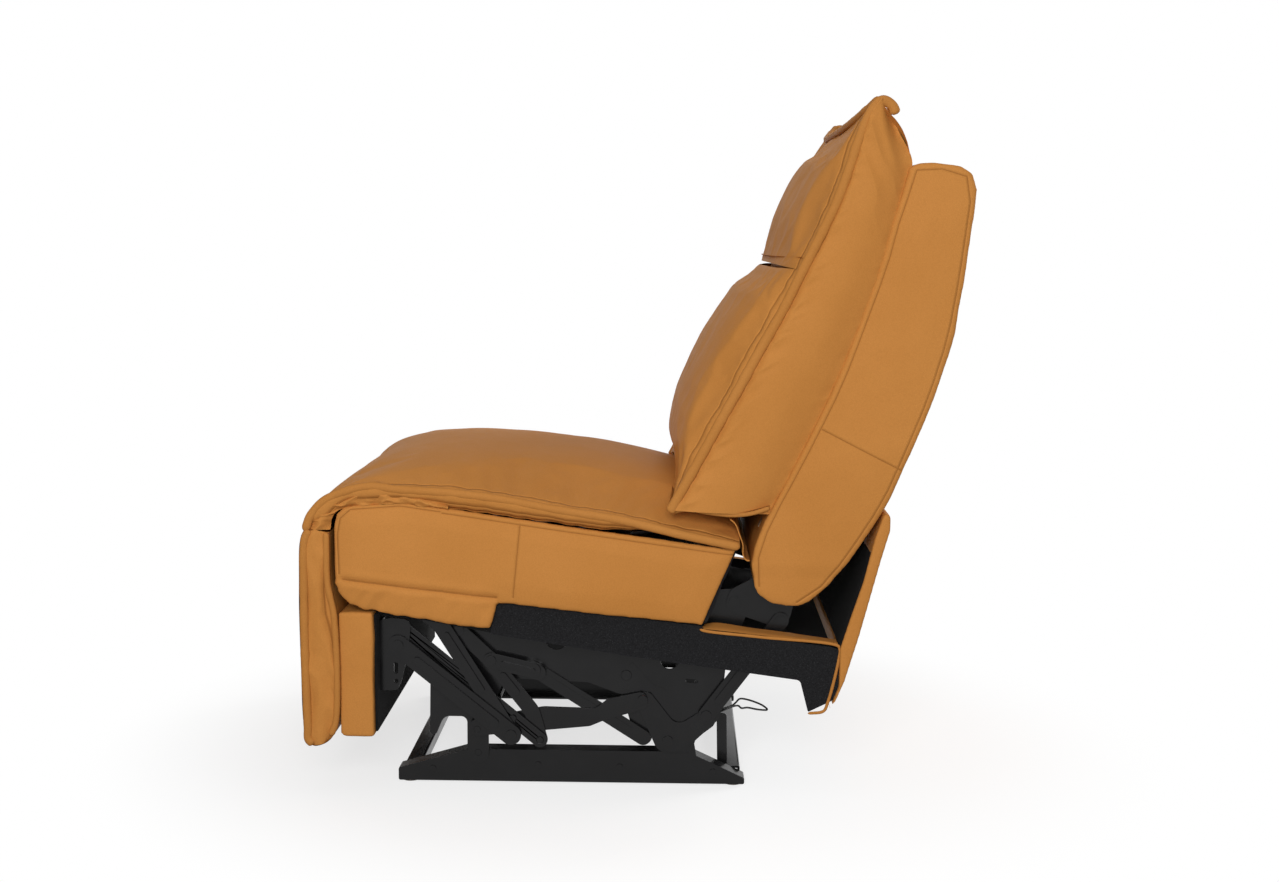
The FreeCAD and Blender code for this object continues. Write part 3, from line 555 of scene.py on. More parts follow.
def finish_piece(obj, body, mat, nodes=()):
    """Gives a piece its material and body, and hides the CAD nodes that it stands for."""
    obj.data.materials.clear()
    obj.data.materials.append(mat)
    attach(obj, body)
    if nodes:
        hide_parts(*nodes)
    return obj


# Seat cushion

SEAT_EDGE = yz([(-499, 420), (-491, 442), (-472, 465), (-437, 482), (-399, 490), (-361, 486), (-277, 481),
                (-201, 472), (-110, 456), (-19, 442), (72, 421), (163, 402)])
SEAT_CROWN = yz([(-506, 420), (-499, 443), (-470, 473), (-381, 512), (-312, 522), (-201, 520), (-65, 505),
                 (38, 485), (110, 465), (165, 440)])
PANEL_TOP = yz([(-470, 421), (-460, 436), (-438, 456), (-354, 462), (-293, 454), (156, 393)])

# Rows from the side panel over the edge to the middle: distance from the middle plane, share of the way from
# the edge line to the crown, and share of the drop from the edge down to the side panel.
SEAT_ROWS = (
    (0.300, 0, 1.0), (0.312, 0, 0.75), (0.3175, 0, 0.45), (0.3185, 0, 0.2), (0.3165, 0, 0), (0.306, 0.09, 0),
    (0.282, 0.25, 0), (0.235, 0.52, 0), (0.165, 0.80, 0), (0.085, 0.96, 0), (0, 1, 0),
)
SEAT_LOWEST = 0.4215  # height of the cushion's front end, above the footrest pad
SEAT_POINTS = 60


def seat_cushion():
    """Leather of the seat cushion, with slack across it and puckers along its edges."""
    edge, crown = resample(SEAT_EDGE, SEAT_POINTS), resample(SEAT_CROWN, SEAT_POINTS)
    panel_y, panel_z = zip(*PANEL_TOP)
    rows = []
    for x, share, drop in SEAT_ROWS:
        row = lerp(edge, crown, share)
        floor = np.maximum(np.interp(row[:, 0], panel_y, panel_z) + 0.001, SEAT_LOWEST)
        z = row[:, 1] - np.maximum(0, row[:, 1] - floor) * drop
        rows.append(np.column_stack([np.full(SEAT_POINTS, x), row[:, 0], z]))
    p = net(mirrored(rows), 110, 140)
    near = (HALF - np.abs(p[..., 0])) / 0.03
    slack = fractal(p, 7, (0.5, 1, 1), 3.1, 2) * 0.003 * np.clip(near, 0, 1)
    pucker = fractal(p, 42, (0.25, 1, 0.6), 7.7, 2) * 0.0012 * np.exp(-(near ** 2))
    p = pushed(p, slack + pucker)
    obj = settle(grid("seat_cushion_leather", p), seam_mask(p, 0.3085), spare=0.006, cap=0.006)
    finish_piece(obj, "seat", SEWN, ["seat_cushion"])


def rim(name, body, line, radius=0.0068, n=260, seed=0.0):
    """Rolled and stitched edge of a cushion."""
    cord = sweep(name, line, radius, n=n, flat=0.8, wobble=0.10, seed=seed, sides=16)
    return finish_piece(cord, body, PIPING)


TUCK_UPPER = yz([(-498, 418.5), (-488, 440), (-466, 460), (-430, 477), (-400, 484), (-360, 480), (-320, 471),
                 (-280, 457)])
TUCK_LOWER = yz([(-462, 418), (-460, 432), (-452, 446), (-430, 453), (-400, 457), (-355, 459), (-318, 455),
                 (-280, 450)])
TUCK_X, TUCK_BULGE, TUCK_FOLD = 0.307, 0.006, 0.0045


def tuck(side):
    """Slack leather gathered between the seat cushion and the side panel."""
    upper, lower = np.array(TUCK_UPPER), np.array(TUCK_LOWER)
    rows = []
    for t in (0, 0.25, 0.5, 0.75, 1.0):
        out = TUCK_X + TUCK_BULGE * math.sin(math.pi * t)
        rows.append([(side * out, *q) for q in lerp(upper, lower, t)])
    p = net(rows, 220, 26)
    fold = crease(p, 26, (1, 1.0, 2.4), 2.2 + side, 2) * TUCK_FOLD
    p = pushed_out(p, side, np.clip(fold, -0.006, 0.005))
    finish_piece(grid(f"seat_tuck_{SIDE_WORD[side]}", p), "seat", LEATHER)


SEAT_RIM_X, SEAT_RIM_DROP = 0.3145, 0.0035  # place of the rim on the edge

seat_cushion()
for side in SIDES:
    line = [(side * SEAT_RIM_X, y, z - SEAT_RIM_DROP) for y, z in SEAT_EDGE]
    rim(f"seat_rim_{SIDE_WORD[side]}", "seat", line)
    tuck(side)

# Footrest pad

PAD_FRONT = yz([(-486, 419.8), (-498, 419), (-505, 404), (-508, 330), (-508, 200), (-506, 110), (-500, 88)])
PAD_LOOP = yz([(-500, 88), (-492, 80), (-474, 84), (-461, 96), (-453, 120), (-453, 285), (-462, 335), (-463, 415)])

# Rows from a side to the middle: distance from the middle plane and how much fuller the pad is there.
PAD_ROWS = ((PAD_HALF, 0), (0.311, 0.0015), (0.295, 0.0035), (0.25, 0.006), (0.15, 0.0085), (0, 0.009))


def pad_front():
    """Front of the footrest pad, fuller in the middle than at its sides."""
    rows = []
    for x, out in PAD_ROWS:
        full = [out * (0.25 + 0.75 * math.sin(math.pi * min(1, i / 5))) for i in range(len(PAD_FRONT))]
        rows.append([(x, y - f, z) for f, (y, z) in zip(full, PAD_FRONT)])
    p = net(mirrored(rows), 80, 120)
    p = pushed(p, fractal(p, 9, (0.6, 1, 0.5), 1.3, 2) * 0.002)
    return settle(grid("front", p), seam_mask(p), spare=0.004, cap=0.003)


PAD_SIDE_X, PAD_SIDE_BULGE = 0.3120, 0.004


def pad_side(side):
    """Boxed side of the footrest pad, with upright folds."""
    n = 120
    front, back = resample(PAD_FRONT + PAD_LOOP[1:2], n), resample(PAD_LOOP[::-1][:-2], n)
    rows = []
    for t in (0, 0.12, 0.35, 0.65, 0.88, 1):
        x = side * (PAD_SIDE_X + PAD_SIDE_BULGE * math.sin(math.pi * t))
        rows.append([(x, *q) for q in lerp(front, back, t)[::7]])
    p = net(rows, 150, 24)
    folds = crease(p, 21, (1, 1.3, 0.32), 5.5 + side, 2) * 0.0034
    folds += fractal(p, 60, (1, 1, 0.5), 1.5, 2) * 0.0008
    return grid("cap", pushed_out(p, side, np.clip(folds, -0.007, 0.004)))


def pad():
    """Footrest pad, closed all round."""
    rows = [[(x, y, z) for y, z in PAD_LOOP] for x in (PAD_HALF, 0.2, 0.0, -0.2, -PAD_HALF)]
    front, back = pad_front(), grid("back", net(rows, 90, 60))
    obj = join("footrest_pad_leather", [front, back] + [pad_side(side) for side in SIDES])
    face_outward(obj.data, weld=0.0004)
    shade_smooth(obj.data)
    finish_piece(obj, "footrest", SEWN, ["footrest_pad"])


PAD_RIM_FRONT_X, PAD_RIM_REAR_X = 0.3150, 0.3155

pad()
for side in SIDES:
    line = [(side * PAD_RIM_FRONT_X, y + 0.0055, z) for y, z in PAD_FRONT[1:-1]]
    line += [(side * PAD_RIM_FRONT_X, y, z + 0.002) for y, z in PAD_LOOP[:2]]
    rim(f"pad_rim_front_{SIDE_WORD[side]}", "footrest", line, n=220, seed=3.0)
    line = [(side * PAD_RIM_REAR_X, y - 0.004, z) for y, z in PAD_LOOP[::-1][:5]]
    rim(f"pad_rim_rear_{SIDE_WORD[side]}", "footrest", line, radius=0.0050, n=180, seed=5.0)

# Back and headrest

BACK_EDGE = yz([(357, 1067), (343, 1052), (329, 1020), (313, 970), (295, 919), (271, 868), (246, 817), (217, 757),
                (188, 705), (156, 645), (123, 584), (93, 528), (71, 488), (53, 455)])
HEAD_CROWN = yz([(324, 1034), (291, 1008), (267, 980), (243, 934), (222, 885), (207, 826)])
LUMBAR_CROWN = yz([(205, 822), (178, 806), (140, 759), (104, 700), (71, 632), (54, 581), (51, 521), (62, 474)])
GUSSET_REAR = yz([(368, 1066), (388, 1022), (410, 976), (398, 919), (383, 832), (335, 699), (285, 590), (244, 513),
                  (207, 447)])


# Rows from a side's rim to the middle: distance from the middle plane and share of the way to the crown.
CROWN_ROWS = ((BACK_HALF, 0.0), (0.309, 0.10), (0.292, 0.33), (0.258, 0.60), (0.20, 0.82), (0.11, 0.96), (0, 1))
CROWN_POINTS = 50


def crowned(name, edge, crown, seed, nu, nv):
    """Cushion face between two piped edges."""
    edge, crown = resample(edge, CROWN_POINTS), resample(crown, CROWN_POINTS)
    rows = [np.column_stack([np.full(CROWN_POINTS, x), lerp(edge, crown, share)]) for x, share in CROWN_ROWS]
    p = net(mirrored(rows), nu, nv)
    forward = -np.sign(normals(p)[nv // 2, nu // 2, 1])
    near = HALF - np.abs(p[..., 0])
    soft = fractal(p, 6, (0.6, 1, 1), seed, 2) * 0.0025 * np.clip(near / 0.05, 0, 1)
    soft -= 0.003 * np.clip(near / 0.08, 0, 1)
    pucker = fractal(p, 40, (0.3, 1, 1), seed + 4, 2) * 0.0012 * np.exp(-((near / 0.028) ** 2))
    p = pushed(p, forward * (soft + pucker))
    return settle(grid(name, p), seam_mask(p), spare=0.004, cap=0.006)


def head_and_lumbar():
    """Front faces of the headrest and of the back cushion, which meet at the fold."""
    head = crowned("headrest_front_leather", BACK_EDGE[:7], HEAD_CROWN, 2.0, 80, 110)
    finish_piece(head, "headrest", SEWN, ["headrest_cushion"])
    lumbar = crowned("back_front_leather", BACK_EDGE[6:], LUMBAR_CROWN, 5.0, 100, 130)
    finish_piece(lumbar, "back", SEWN, ["back_cushion"])


head_and_lumbar()

FOLD = ((0.001, 0.806), (0.016, 0.813), (0.022, 0.8205), (0.016, 0.828), (0.003, 0.836))  # depth and height


def fold_of_back():
    """Leather at the bottom of the fold between the lumbar cushion and the headrest."""
    rows = []
    for x in np.linspace(-0.312, 0.312, 25):
        y = (246 - 40 * (1 - abs(x / BACK_HALF) ** 3)) / 1000 + SHIFT
        rows.append([(x, y + depth, z) for depth, z in FOLD])
    obj = grid("back_fold_leather", net(rows, 24, 160))
    obj.data.materials.append(LEATHER)
    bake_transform(obj)


fold_of_back()


EAR = yz([(382, 1044), (377, 1056), (367, 1063)])
GUSSET_TAPER, GUSSET_BULGE = 0.017, 0.010


def gusset(side):
    """Side of the back cushion and the headrest, with folds that run up it, and the rim in front of it."""
    n, nu, nv = 140, 330, 90
    front, rear = resample(BACK_EDGE, n), resample(GUSSET_REAR, n)
    rows = []
    for t in (0.0, 0.04, 0.12, 0.3, 0.55, 0.8, 0.95, 1.0):
        x = BACK_HALF - GUSSET_TAPER * t ** 1.5 + GUSSET_BULGE * math.sin(math.pi * min(1, t * 1.05))
        row = lerp(front, rear, t)
        rows.append([(side * x, *q) for q in [*row[::4], row[-1]]])
    p = net(rows, nu, nv)
    t = np.linspace(0, 1, nv)[:, None]  # from the front rim to the rear edge
    s = np.linspace(0, 1, nu)[None, :]  # from the top down
    fade = np.sin(np.pi * np.clip(t, 0, 1)) ** 0.5
    slant = np.stack([p[..., 0], p[..., 1] + 0.35 * p[..., 2], p[..., 2] - 0.35 * p[..., 1]], axis=-1)
    d = fractal(p, 7, (1, 1.0, 0.35), 8.2, 2) * 0.006 * fade
    d += crease(slant, 19, (1, 1.2, 0.28), 4.4, 2) * 0.0042 * fade * np.exp(-((s / 0.22) ** 2))
    d += crease(slant, 30, (1, 0.35, 1.2), 3.3, 2) * 0.0022 * np.exp(-(((t - 0.13) / 0.10) ** 2))
    d += crease(slant, 26, (1, 0.4, 1.2), 6.3, 2) * 0.0014 * np.exp(-(((1 - t) / 0.14) ** 2))
    d -= 0.004 * np.exp(-(((t - 0.085) / 0.03) ** 2)) * np.clip((1 - s) / 0.04, 0, 1)
    obj = grid(f"back_gusset_{SIDE_WORD[side]}", pushed_out(p, side, np.clip(d, -0.008, 0.006)))
    obj.data.materials.append(LEATHER)
    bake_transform(obj)
    line = [(side * 0.3145, y, z) for y, z in EAR] + [(side * 0.3155, y + 0.003, z - 0.004) for y, z in BACK_EDGE]
    cord = sweep(f"back_rim_{SIDE_WORD[side]}", line, 0.0078, n=420, flat=0.75, wobble=0.10, sides=16)
    cord.data.materials.append(PIPING)
    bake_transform(cord)


for side in SIDES:
    gusset(side)

BOTTOM = yz([(53, 455), (60, 451), (82, 455), (112, 450), (147, 446), (180, 449), (207, 458)])


BOTTOM_MIDDLE = yz([(61, 475), (72, 461)])  # where the first two points of BOTTOM lie in the middle
BOTTOM_ROWS = ((0.3145, 0), (0.306, 0.15), (0.288, 0.38), (0.258, 0.60), (0.20, 0.82), (0.11, 0.96), (0, 1))


def bottom_of_back():
    """Leather under the back cushion, with a piped seam at each side."""
    outer, middle = np.array(BOTTOM[:2]), np.array(BOTTOM_MIDDLE)
    rows = []
    for x, share in BOTTOM_ROWS:
        lift = 0.010 * (1 - min(1, (BOTTOM_ROWS[0][0] - x) / 0.03)) - 0.004
        rows.append([(x, *q) for q in lerp(outer, middle, share)] + [(x, y, z + lift) for y, z in BOTTOM[2:]])
    p = net(mirrored(rows), 60, 150)
    p = pushed(p, fractal(p, 18, (0.5, 1, 1), 6.6, 2) * 0.002)
    finish_piece(grid("back_bottom_leather", p), "back", LEATHER)
    for side in SIDES:
        line = [(side * 0.3105, y, z + 0.001) for y, z in BOTTOM]
        rim(f"back_bottom_rim_{SIDE_WORD[side]}", "back", line, radius=0.0036, n=150, seed=2.0)


bottom_of_back()

EAR_TIP = (0.363, 1.067)
SAG = 0.033  # of the top edge between the two ears
SHELL_TOP = (0.413, 0.976)


def top_of_back():
    """Piped top edge that sags between the two ears, and the leather behind it down to the shell."""
    xs = np.linspace(-BACK_HALF, BACK_HALF, 25)
    sag = SAG * (1 - np.abs(xs / BACK_HALF) ** 4)
    line = [(x, EAR_TIP[0] - d, EAR_TIP[1] - d) for x, d in zip(xs, sag)]
    cord = sweep("headrest_top_piping", line, 0.0058, n=260, wobble=0.12)
    finish_piece(cord, "headrest", PIPING)
    rows = []
    for t in (0, 0.1, 0.35, 0.7, 1.0):
        full = 0.012 * math.sin(math.pi * t)
        narrow = 1 - 0.05 * t
        rows.append([(x * narrow, lerp(y, SHELL_TOP[0], t) + full, lerp(z, SHELL_TOP[1], t)) for x, y, z in line])
    p = net(rows, 200, 60)
    p = pushed(p, fractal(p, 16, (0.5, 1, 1), 4.4, 3) * 0.003)
    finish_piece(grid("headrest_rear_leather", p), "headrest", LEATHER)


top_of_back()

# Back shell

SHELL = yz([(191, 322), (184, 336), (181, 368), (186, 398), (201, 437), (252, 538), (296, 630), (317, 682), (338, 742),
            (366, 824), (383, 890), (397, 934), (406, 968), (420, 975), (443, 976), (480, 971), (499, 959), (506, 936),
            (503, 898), (492, 802), (480, 728), (471, 691), (453, 630), (439, 592), (421, 547), (390, 473), (361, 423),
            (331, 377), (302, 338), (272, 311), (257, 304), (234, 304), (211, 308)])


SHELL_HALF = 0.306
SHELL_CROSS_SEAM = yz([(285, 578), (405, 517)])
SHELL_SEAM_INSET = 0.0095
SHELL_FOOT = 0.37  # below this height the shell is drawn in, clear of the seat's rear end


def inner_line(points, distance):
    """A line beside the given one, on its right."""
    p = np.array(points)
    t = np.gradient(p, axis=0)
    t /= np.linalg.norm(t, axis=1, keepdims=True)
    return [tuple(q) for q in p + np.stack([t[:, 1], -t[:, 0]], axis=1) * distance]


def shell():
    """Padded outer back, with a seam that follows its edge and one across each side."""
    obj = slab("back_shell_leather", SHELL, -SHELL_HALF, SHELL_HALF, voxel=0.004, smooth=6)
    co = per_vertex(obj)
    from_edge = distance_to(co[:, 1:], SHELL + SHELL[:1])
    on_side = np.clip((np.abs(co[:, 0]) - 0.296) / 0.008, 0, 1)
    lift = 0.004 * np.clip(from_edge / 0.05, 0, 1) ** 0.5 * on_side
    lift += fractal(co, 8, (1, 1, 1), 2.5, 3) * 0.002 * np.clip((co[:, 2] - 0.36) / 0.05, 0, 1)
    lift -= 0.0022 * np.clip((SHELL_FOOT - co[:, 2]) / 0.02, 0, 1)
    move(obj, lift)
    inset = inner_line(resample(SHELL[1:31], 34), SHELL_SEAM_INSET)
    seams = list(zip(inset[:-1], inset[1:])) + [tuple(SHELL_CROSS_SEAM)]
    sewn = leather("tan_leather_shell", seams=seams)
    finish_piece(obj, "back", sewn, ["back_shell"])


shell()

# Seat side panels, felt and flap

PANEL = yz([(-457, 420), (-452, 442), (-438, 454), (-354, 461), (-293, 453), (-171, 436), (156, 392), (131, 331),
            (107, 276), (-60, 292), (-209, 308), (-218, 266), (-395, 291), (-418, 296), (-438, 306), (-452, 322),
            (-457, 356)])
PANEL_SEAM_LINES = (
    yz([(-290, 446), (-110, 420), (153, 385)]), yz([(-171, 430), (-182, 316)]),
    yz([(-443, 341), (-330, 328), (-209, 315)]),
    yz([(-293, 448), (-354, 456), (-430, 450), (-446, 436), (-451, 410), (-449, 350)]),
)
PANEL_SEAMS = [seam for line in PANEL_SEAM_LINES for seam in zip(line, line[1:])]
PANEL_LEATHER = leather("tan_leather_panel", seams=PANEL_SEAMS)
PANEL_STRIP = yz([(-443, 341), (-209, 315)])  # the seam over the panel's lower strip
PANEL_INNER, PANEL_OUTER = 0.2985, 0.3085


def panel(side):
    """Padded side panel of the seat, with slanting folds in its lower strip."""
    x0, x1 = sorted((side * PANEL_INNER, side * PANEL_OUTER))
    obj = slab(f"side_panel_{SIDE_WORD[side]}", PANEL, x0, x1, voxel=0.0035, smooth=4)
    co = per_vertex(obj)
    from_edge = distance_to(co[:, 1:], PANEL + PANEL[:1])
    from_strip = distance_to(co[:, 1:], PANEL_STRIP)
    outer = np.clip((side * co[:, 0] - 0.301) / 0.005, 0, 1)
    strip_y, strip_z = zip(*PANEL_STRIP)
    low = (co[:, 2] < np.interp(co[:, 1], strip_y, strip_z)) & (co[:, 1] < -0.2)
    slant = np.stack([co[:, 0], co[:, 1] - 0.8 * co[:, 2], co[:, 2]], axis=1)
    lift = 0.0055 * np.clip(from_edge / 0.03, 0, 1) ** 0.6 * outer
    lift += groove(from_strip, 0.004, 0.003) * outer
    lift += crease(slant, 17, (1, 1.3, 0.2), 2.6, 2) * 0.0026 * low * np.clip(from_strip / 0.012, 0, 1) * outer
    lift += fractal(co, 9, (1, 1, 1), 1.5 * side, 2) * 0.0016 * outer
    move(obj, np.clip(lift, -0.003, 0.008))
    finish_piece(obj, "seat", PANEL_LEATHER, [f"seat_side_panel_{SIDE_WORD[side]}"])


for side in SIDES:
    panel(side)

FLAP_OUT = yz([(300, 138), (314, 158), (327, 190), (348, 262), (378, 379), (391, 425), (391, 447), (384, 451)])
FLAP_IN = yz([(380, 447), (368, 412), (352, 345), (333, 286), (319, 240), (318.5, 180), (308, 152)])


COVER_HALF = 0.309  # half the width of the covers of the flap and the footrest box


def flap():
    """Leather cover of the panel hinged under the back."""
    obj = slab("rear_flap_leather", FLAP_OUT + FLAP_IN, -COVER_HALF, COVER_HALF, voxel=0.0035, smooth=3)
    finish_piece(obj, "flap", LEATHER, ["rear_flap"])


flap()

FELT_EDGE = yz([(104, 268), (112, 265.5), (196, 257), (316, 244.5), (319, 240), (317.5, 221), (302, 154), (296, 141),
                (272, 137)])
FELT_FRONT = yz([(157, 408), (148, 382), (127, 330), (107, 277)])
LEDGE_INNER = yz([(112, 268), (129, 270), (195, 261.5), (260, 253.5), (316, 245.5)])
LEDGE_OUTER = yz([(106, 268), (129, 266), (195, 259), (260, 252), (316, 246)])
LEDGE_ROWS = ((0, 0.3008), (0.25, 0.294), (0.6, 0.285), (1, 0.270))  # share of the way inward, and place in X
TAIL = yz([(148, 438), (156, 431), (163, 414), (168, 399), (169, 384), (174, 376), (179, 375)])
TAIL_THICKNESS = 0.0018


def rear_trim(side):
    """Leather wrapped over the rear part of the side rail and bound around its felt."""
    outer, inner = np.array(LEDGE_OUTER), np.array(LEDGE_INNER)
    rows = []
    for t, x in LEDGE_ROWS:
        lift = 0.001 * math.sin(math.pi * min(1, t * 1.4))
        rows.append([(side * x, y, z + lift) for y, z in lerp(outer, inner, t)])
    p = net(rows, 120, 24)
    p = pushed(p, fractal(p, 20, (1, 1, 1), 3.7, 2) * 0.0006)
    finish_piece(grid(f"rail_ledge_{SIDE_WORD[side]}", p), "seat", LEATHER)
    line = [(side * 0.3005, y, z - 0.001) for y, z in FELT_EDGE]
    rim(f"rail_binding_{SIDE_WORD[side]}", "seat", line, radius=0.0024, n=200, seed=1.0)
    line = [(side * 0.2985, y, z) for y, z in FELT_FRONT]
    strip = sweep(f"felt_edge_{SIDE_WORD[side]}", line, 0.0075, flat=0.35, n=80, wobble=0.15)
    finish_piece(strip, "seat", FELT)


for side in SIDES:
    rear_trim(side)


def seat_tail():
    """Rear end of the seat cover, hanging into the gap before the back."""
    p = net([[(x, y, z) for y, z in TAIL] for x in (0.300, 0.15, 0, -0.15, -0.300)], 70, 120)
    p = pushed(p, fractal(p, 14, (0.6, 1, 1), 2.9, 2) * 0.002)
    obj = finish_piece(grid("seat_tail_leather", p), "seat", LEATHER)
    thick = obj.modifiers.new("thickness", "SOLIDIFY")
    thick.thickness = TAIL_THICKNESS
    thick.offset = 0.0


seat_tail()

WIRE_X, WIRE_RADIUS = 0.243, 0.0015
WIRE_LOOP = yz([(120, 118), (157, 130), (163, 135), (169, 141), (181, 140), (205, 131), (213, 124), (199, 124),
                (181, 127), (172, 126), (166, 130), (122, 112)])


def wire_clip(side):
    """Wire loop at the foot of the recline linkage."""
    line = [(side * WIRE_X, y, z) for y, z in WIRE_LOOP]
    cord = sweep(f"wire_clip_{SIDE_WORD[side]}", line, WIRE_RADIUS, n=150)
    finish_piece(cord, "base", STEEL)


wire_clip(1)

CRANK_PIN = yz([(16, 143)])[0]
RING = (0.2612, 0.2626, 0.0075)  # inner and outer place in X, and radius
CAP = (0.2614, 0.2634, 0.0055)


def disc(name, side, x0, x1, radius):
    """Short round piece on the crank's pin."""
    line = [(side * x0, *CRANK_PIN), (side * x1, *CRANK_PIN)]
    return sweep(name, line, radius, n=8, sides=24)


def bush(side):
    """Coloured plastic bush where the tie bar meets the recline crank."""
    ring = disc(f"crank_bush_{SIDE_WORD[side]}", side, *RING)
    finish_piece(ring, "recline_crank", BUSH)
    cap = disc(f"crank_bush_cap_{SIDE_WORD[side]}", side, *CAP)
    finish_piece(cap, "recline_crank", STEEL)


for side in SIDES:
    bush(side)

BOX_CHAMFER = 0.006


def box_cover():
    """Leather over the footrest's box."""
    lo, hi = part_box("footrest_box")
    y0, y1, z0, z1 = lo.y, hi.y, lo.z, hi.z
    outline = [(y0, z0 + BOX_CHAMFER), (y0 + BOX_CHAMFER, z0), (y1, z0), (y1, z1), (y0, z1)]
    obj = slab("footrest_box_leather", outline, -COVER_HALF, COVER_HALF, voxel=0.0035, smooth=3)
    move(obj, fractal(per_vertex(obj), 14, (1, 1, 1), 9.0, 3) * 0.0014)
    finish_piece(obj, "footrest", LEATHER, ["footrest_box"])


box_cover()

# CAD pieces kept on show

LOOKS = {
    "felt": FELT, "seat_side_rail": BOARD, "seat_front_rail": WOOD, "seat_rear_rail": WOOD, "back_frame": WOOD,
    "batten": WOOD, "board": BOARD, "cloth": BOARD, "webbing": WEB, "springs": SPRING, "glides": GLIDE,
}


EDGE_RADIUS = 0.0011
SHARPER_THAN = math.radians(35)


def rounded_edges(obj):
    """Small radius on the sharp edges."""
    weld = obj.modifiers.new("weld", "WELD")
    weld.merge_threshold = 0.00001
    bevel = obj.modifiers.new("bevel", "BEVEL")
    bevel.width = EDGE_RADIUS
    bevel.segments = 2
    bevel.limit_method = "ANGLE"
    bevel.angle_limit = SHARPER_THAN
    bevel.harden_normals = True


for name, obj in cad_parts.items():
    if obj.hide_render:
        continue
    obj.data.materials.clear()
    obj.data.materials.append(next((look for word, look in LOOKS.items() if word in name), STEEL))
    if "springs" not in name:
        rounded_edges(obj)

# Floor, lights and camera

FLOOR_SIZE = 12
FLOOR_GREY, FLOOR_GREY_SEEN = 0.30, 0.36
FLOOR_GLOW = 0.69  # lifts the floor to nearly white where the lens sees it, and leaves the shadow
FADE_FROM, FADE_TO = 0.55, 0.95  # the floor turns to plain white between these distances
FADE_STRETCH = 1.15
WORLD_LIGHT = 0.28
WHITE = (1, 1, 1, 1)


def seen_directly(nt):
    """1 for rays from the lens, from a reflection or through glass, 0 for rays that light the object."""
    path = node(nt, "ShaderNodeLightPath").outputs
    seen = calc(nt, "MAXIMUM", path["Is Camera Ray"], path["Is Glossy Ray"])
    return calc(nt, "MAXIMUM", seen, path["Is Transmission Ray"])


def blend_shaders(nt, share, low, high, output):
    """Puts a mix of two shaders into the material's or the world's output."""
    mix = node(nt, "ShaderNodeMixShader", share, low, high)
    nt.links.new(mix.outputs["Shader"], nt.nodes[output].inputs["Surface"])


def pale_floor():
    """Plain floor that takes the object's shadow near it and is white further out."""
    f = FLOOR_SIZE
    floor = mesh_from("floor", [(-f, -f, 0), (f, -f, 0), (f, f, 0), (-f, f, 0)], [(0, 1, 2, 3)], smooth=False)
    m, nt, bsdf = material("floor_white")
    bsdf.inputs["Roughness"].default_value = 0.9
    bsdf.inputs["Specular IOR Level"].default_value = 0.0
    seen = seen_directly(nt)
    greys = [(g, g, g, 1) for g in (FLOOR_GREY, FLOOR_GREY_SEEN)]
    tone = node(nt, "ShaderNodeMixRGB", Fac=seen, Color1=greys[0], Color2=greys[1])
    nt.links.new(tone.outputs["Color"], bsdf.inputs["Base Color"])
    glow = node(nt, "ShaderNodeEmission", Strength=calc(nt, "MULTIPLY", seen, FLOOR_GLOW))
    shadowed = node(nt, "ShaderNodeAddShader", bsdf.outputs["BSDF"], glow.outputs["Emission"])
    stretched = node(nt, "ShaderNodeMapping", Vector=shaded_point(nt), Scale=(FADE_STRETCH, 1.0, 1.0))
    reach = vector_calc(nt, "LENGTH", stretched.outputs["Vector"], result="Value")
    fade = spread(nt, reach, From_Min=FADE_FROM, From_Max=FADE_TO, p_interpolation_type="SMOOTHSTEP")
    white = node(nt, "ShaderNodeEmission", Strength=1.0).outputs["Emission"]
    blend_shaders(nt, calc(nt, "MULTIPLY", fade, seen), shadowed.outputs["Shader"], white, "Material Output")
    floor.data.materials.append(m)


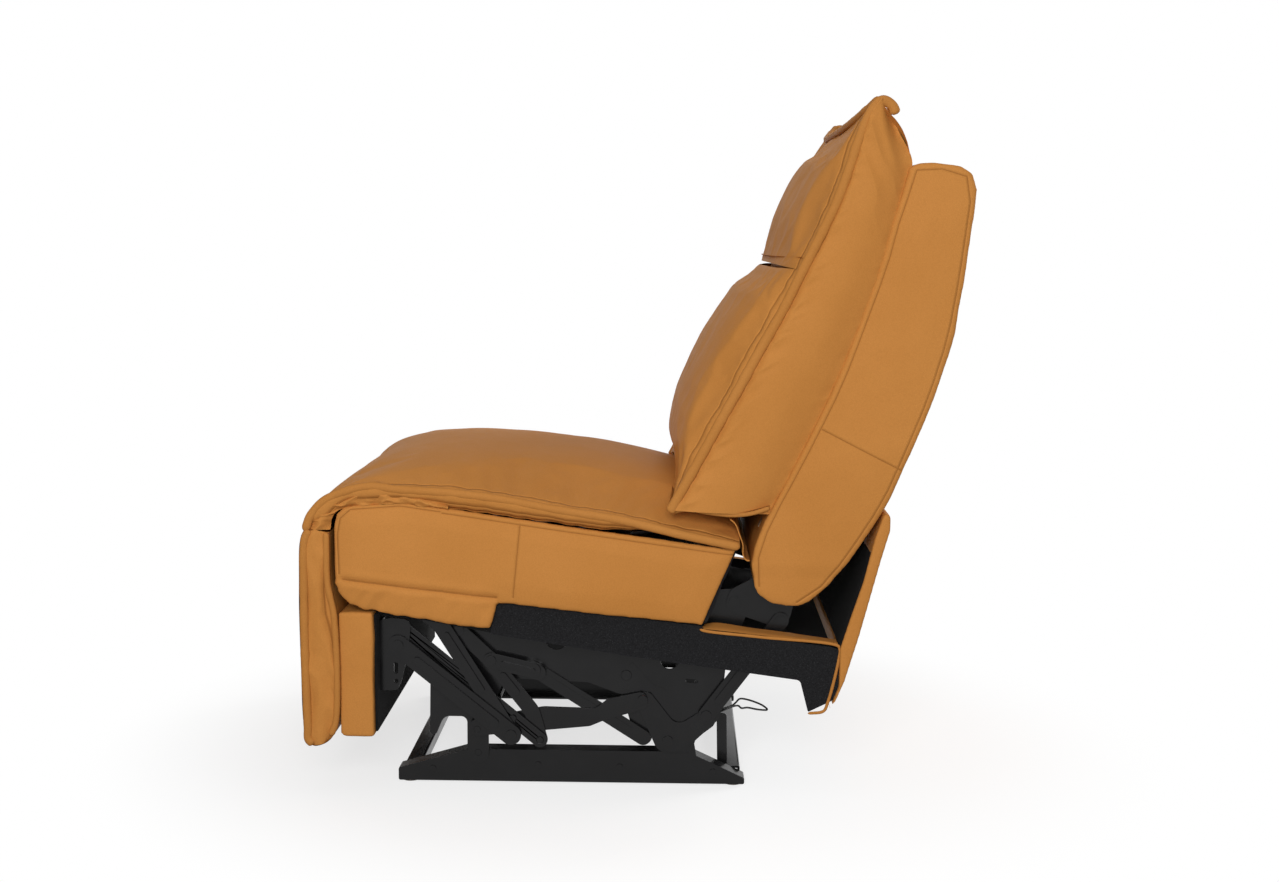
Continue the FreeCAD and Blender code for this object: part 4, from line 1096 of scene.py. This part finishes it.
def pale_world():
    """Soft light from all around, seen as plain white."""
    world = bpy.data.worlds.new("studio")
    bpy.context.scene.world = world
    world.use_nodes = True
    nt = world.node_tree
    soft = nt.nodes["Background"]
    soft.inputs["Color"].default_value = WHITE
    soft.inputs["Strength"].default_value = WORLD_LIGHT
    white = node(nt, "ShaderNodeBackground", Color=WHITE, Strength=1.0).outputs["Background"]
    blend_shaders(nt, seen_directly(nt), soft.outputs["Background"], white, "World Output")


def area_light(name, place, target, size, power):
    """Square area light that faces a target."""
    light = bpy.data.lights.new(name, "AREA")
    light.shape = "RECTANGLE"
    light.size = light.size_y = size
    light.energy = power
    obj = bpy.data.objects.new(name, light)
    obj.location = place
    obj.rotation_mode = "QUATERNION"
    obj.rotation_quaternion = (Vector(target) - Vector(place)).to_track_quat("-Z", "Y")
    bpy.context.scene.collection.objects.link(obj)


pale_floor()
pale_world()
area_light("key", (3.4, -0.2, 1.5), (0, 0, 0.5), 1.6, 84)
area_light("top", (0.2, 0.0, 3.0), (0, 0, 0.4), 2.0, 6)
area_light("rear", (-2.3, 3.0, 1.5), (0, 0, 0.5), 1.6, 88)

# The camera fitted to the photograph

PHOTO_WIDTH, PHOTO_FOCAL = 1279, 1600  # in the photograph's pixels
SENSOR = 36.0
EYE = (2.703, 0.062 + SHIFT, 0.8625)
YAW, PITCH, ROLL = (math.radians(a) for a in (1.25, 7.23, 0.34))


def camera():
    """Camera at EYE, turned by YAW towards -Y from facing -X, tipped down by PITCH and rolled by ROLL."""
    ahead = Vector((-math.cos(YAW) * math.cos(PITCH), -math.sin(YAW) * math.cos(PITCH), -math.sin(PITCH)))
    level = ahead.cross(Vector((0, 0, 1))).normalized()
    upright = level.cross(ahead)
    right = level * math.cos(ROLL) + upright * math.sin(ROLL)
    up = upright * math.cos(ROLL) - level * math.sin(ROLL)
    cam = bpy.data.objects.new("camera", bpy.data.cameras.new("camera"))
    cam.data.sensor_width = SENSOR
    cam.data.lens = SENSOR * PHOTO_FOCAL / PHOTO_WIDTH
    cam.matrix_world = Matrix([(right[i], up[i], -ahead[i], EYE[i]) for i in range(3)] + [(0, 0, 0, 1)])
    bpy.context.scene.collection.objects.link(cam)
    bpy.context.scene.camera = cam


camera()
bpy.context.scene.view_settings.view_transform = "Standard"
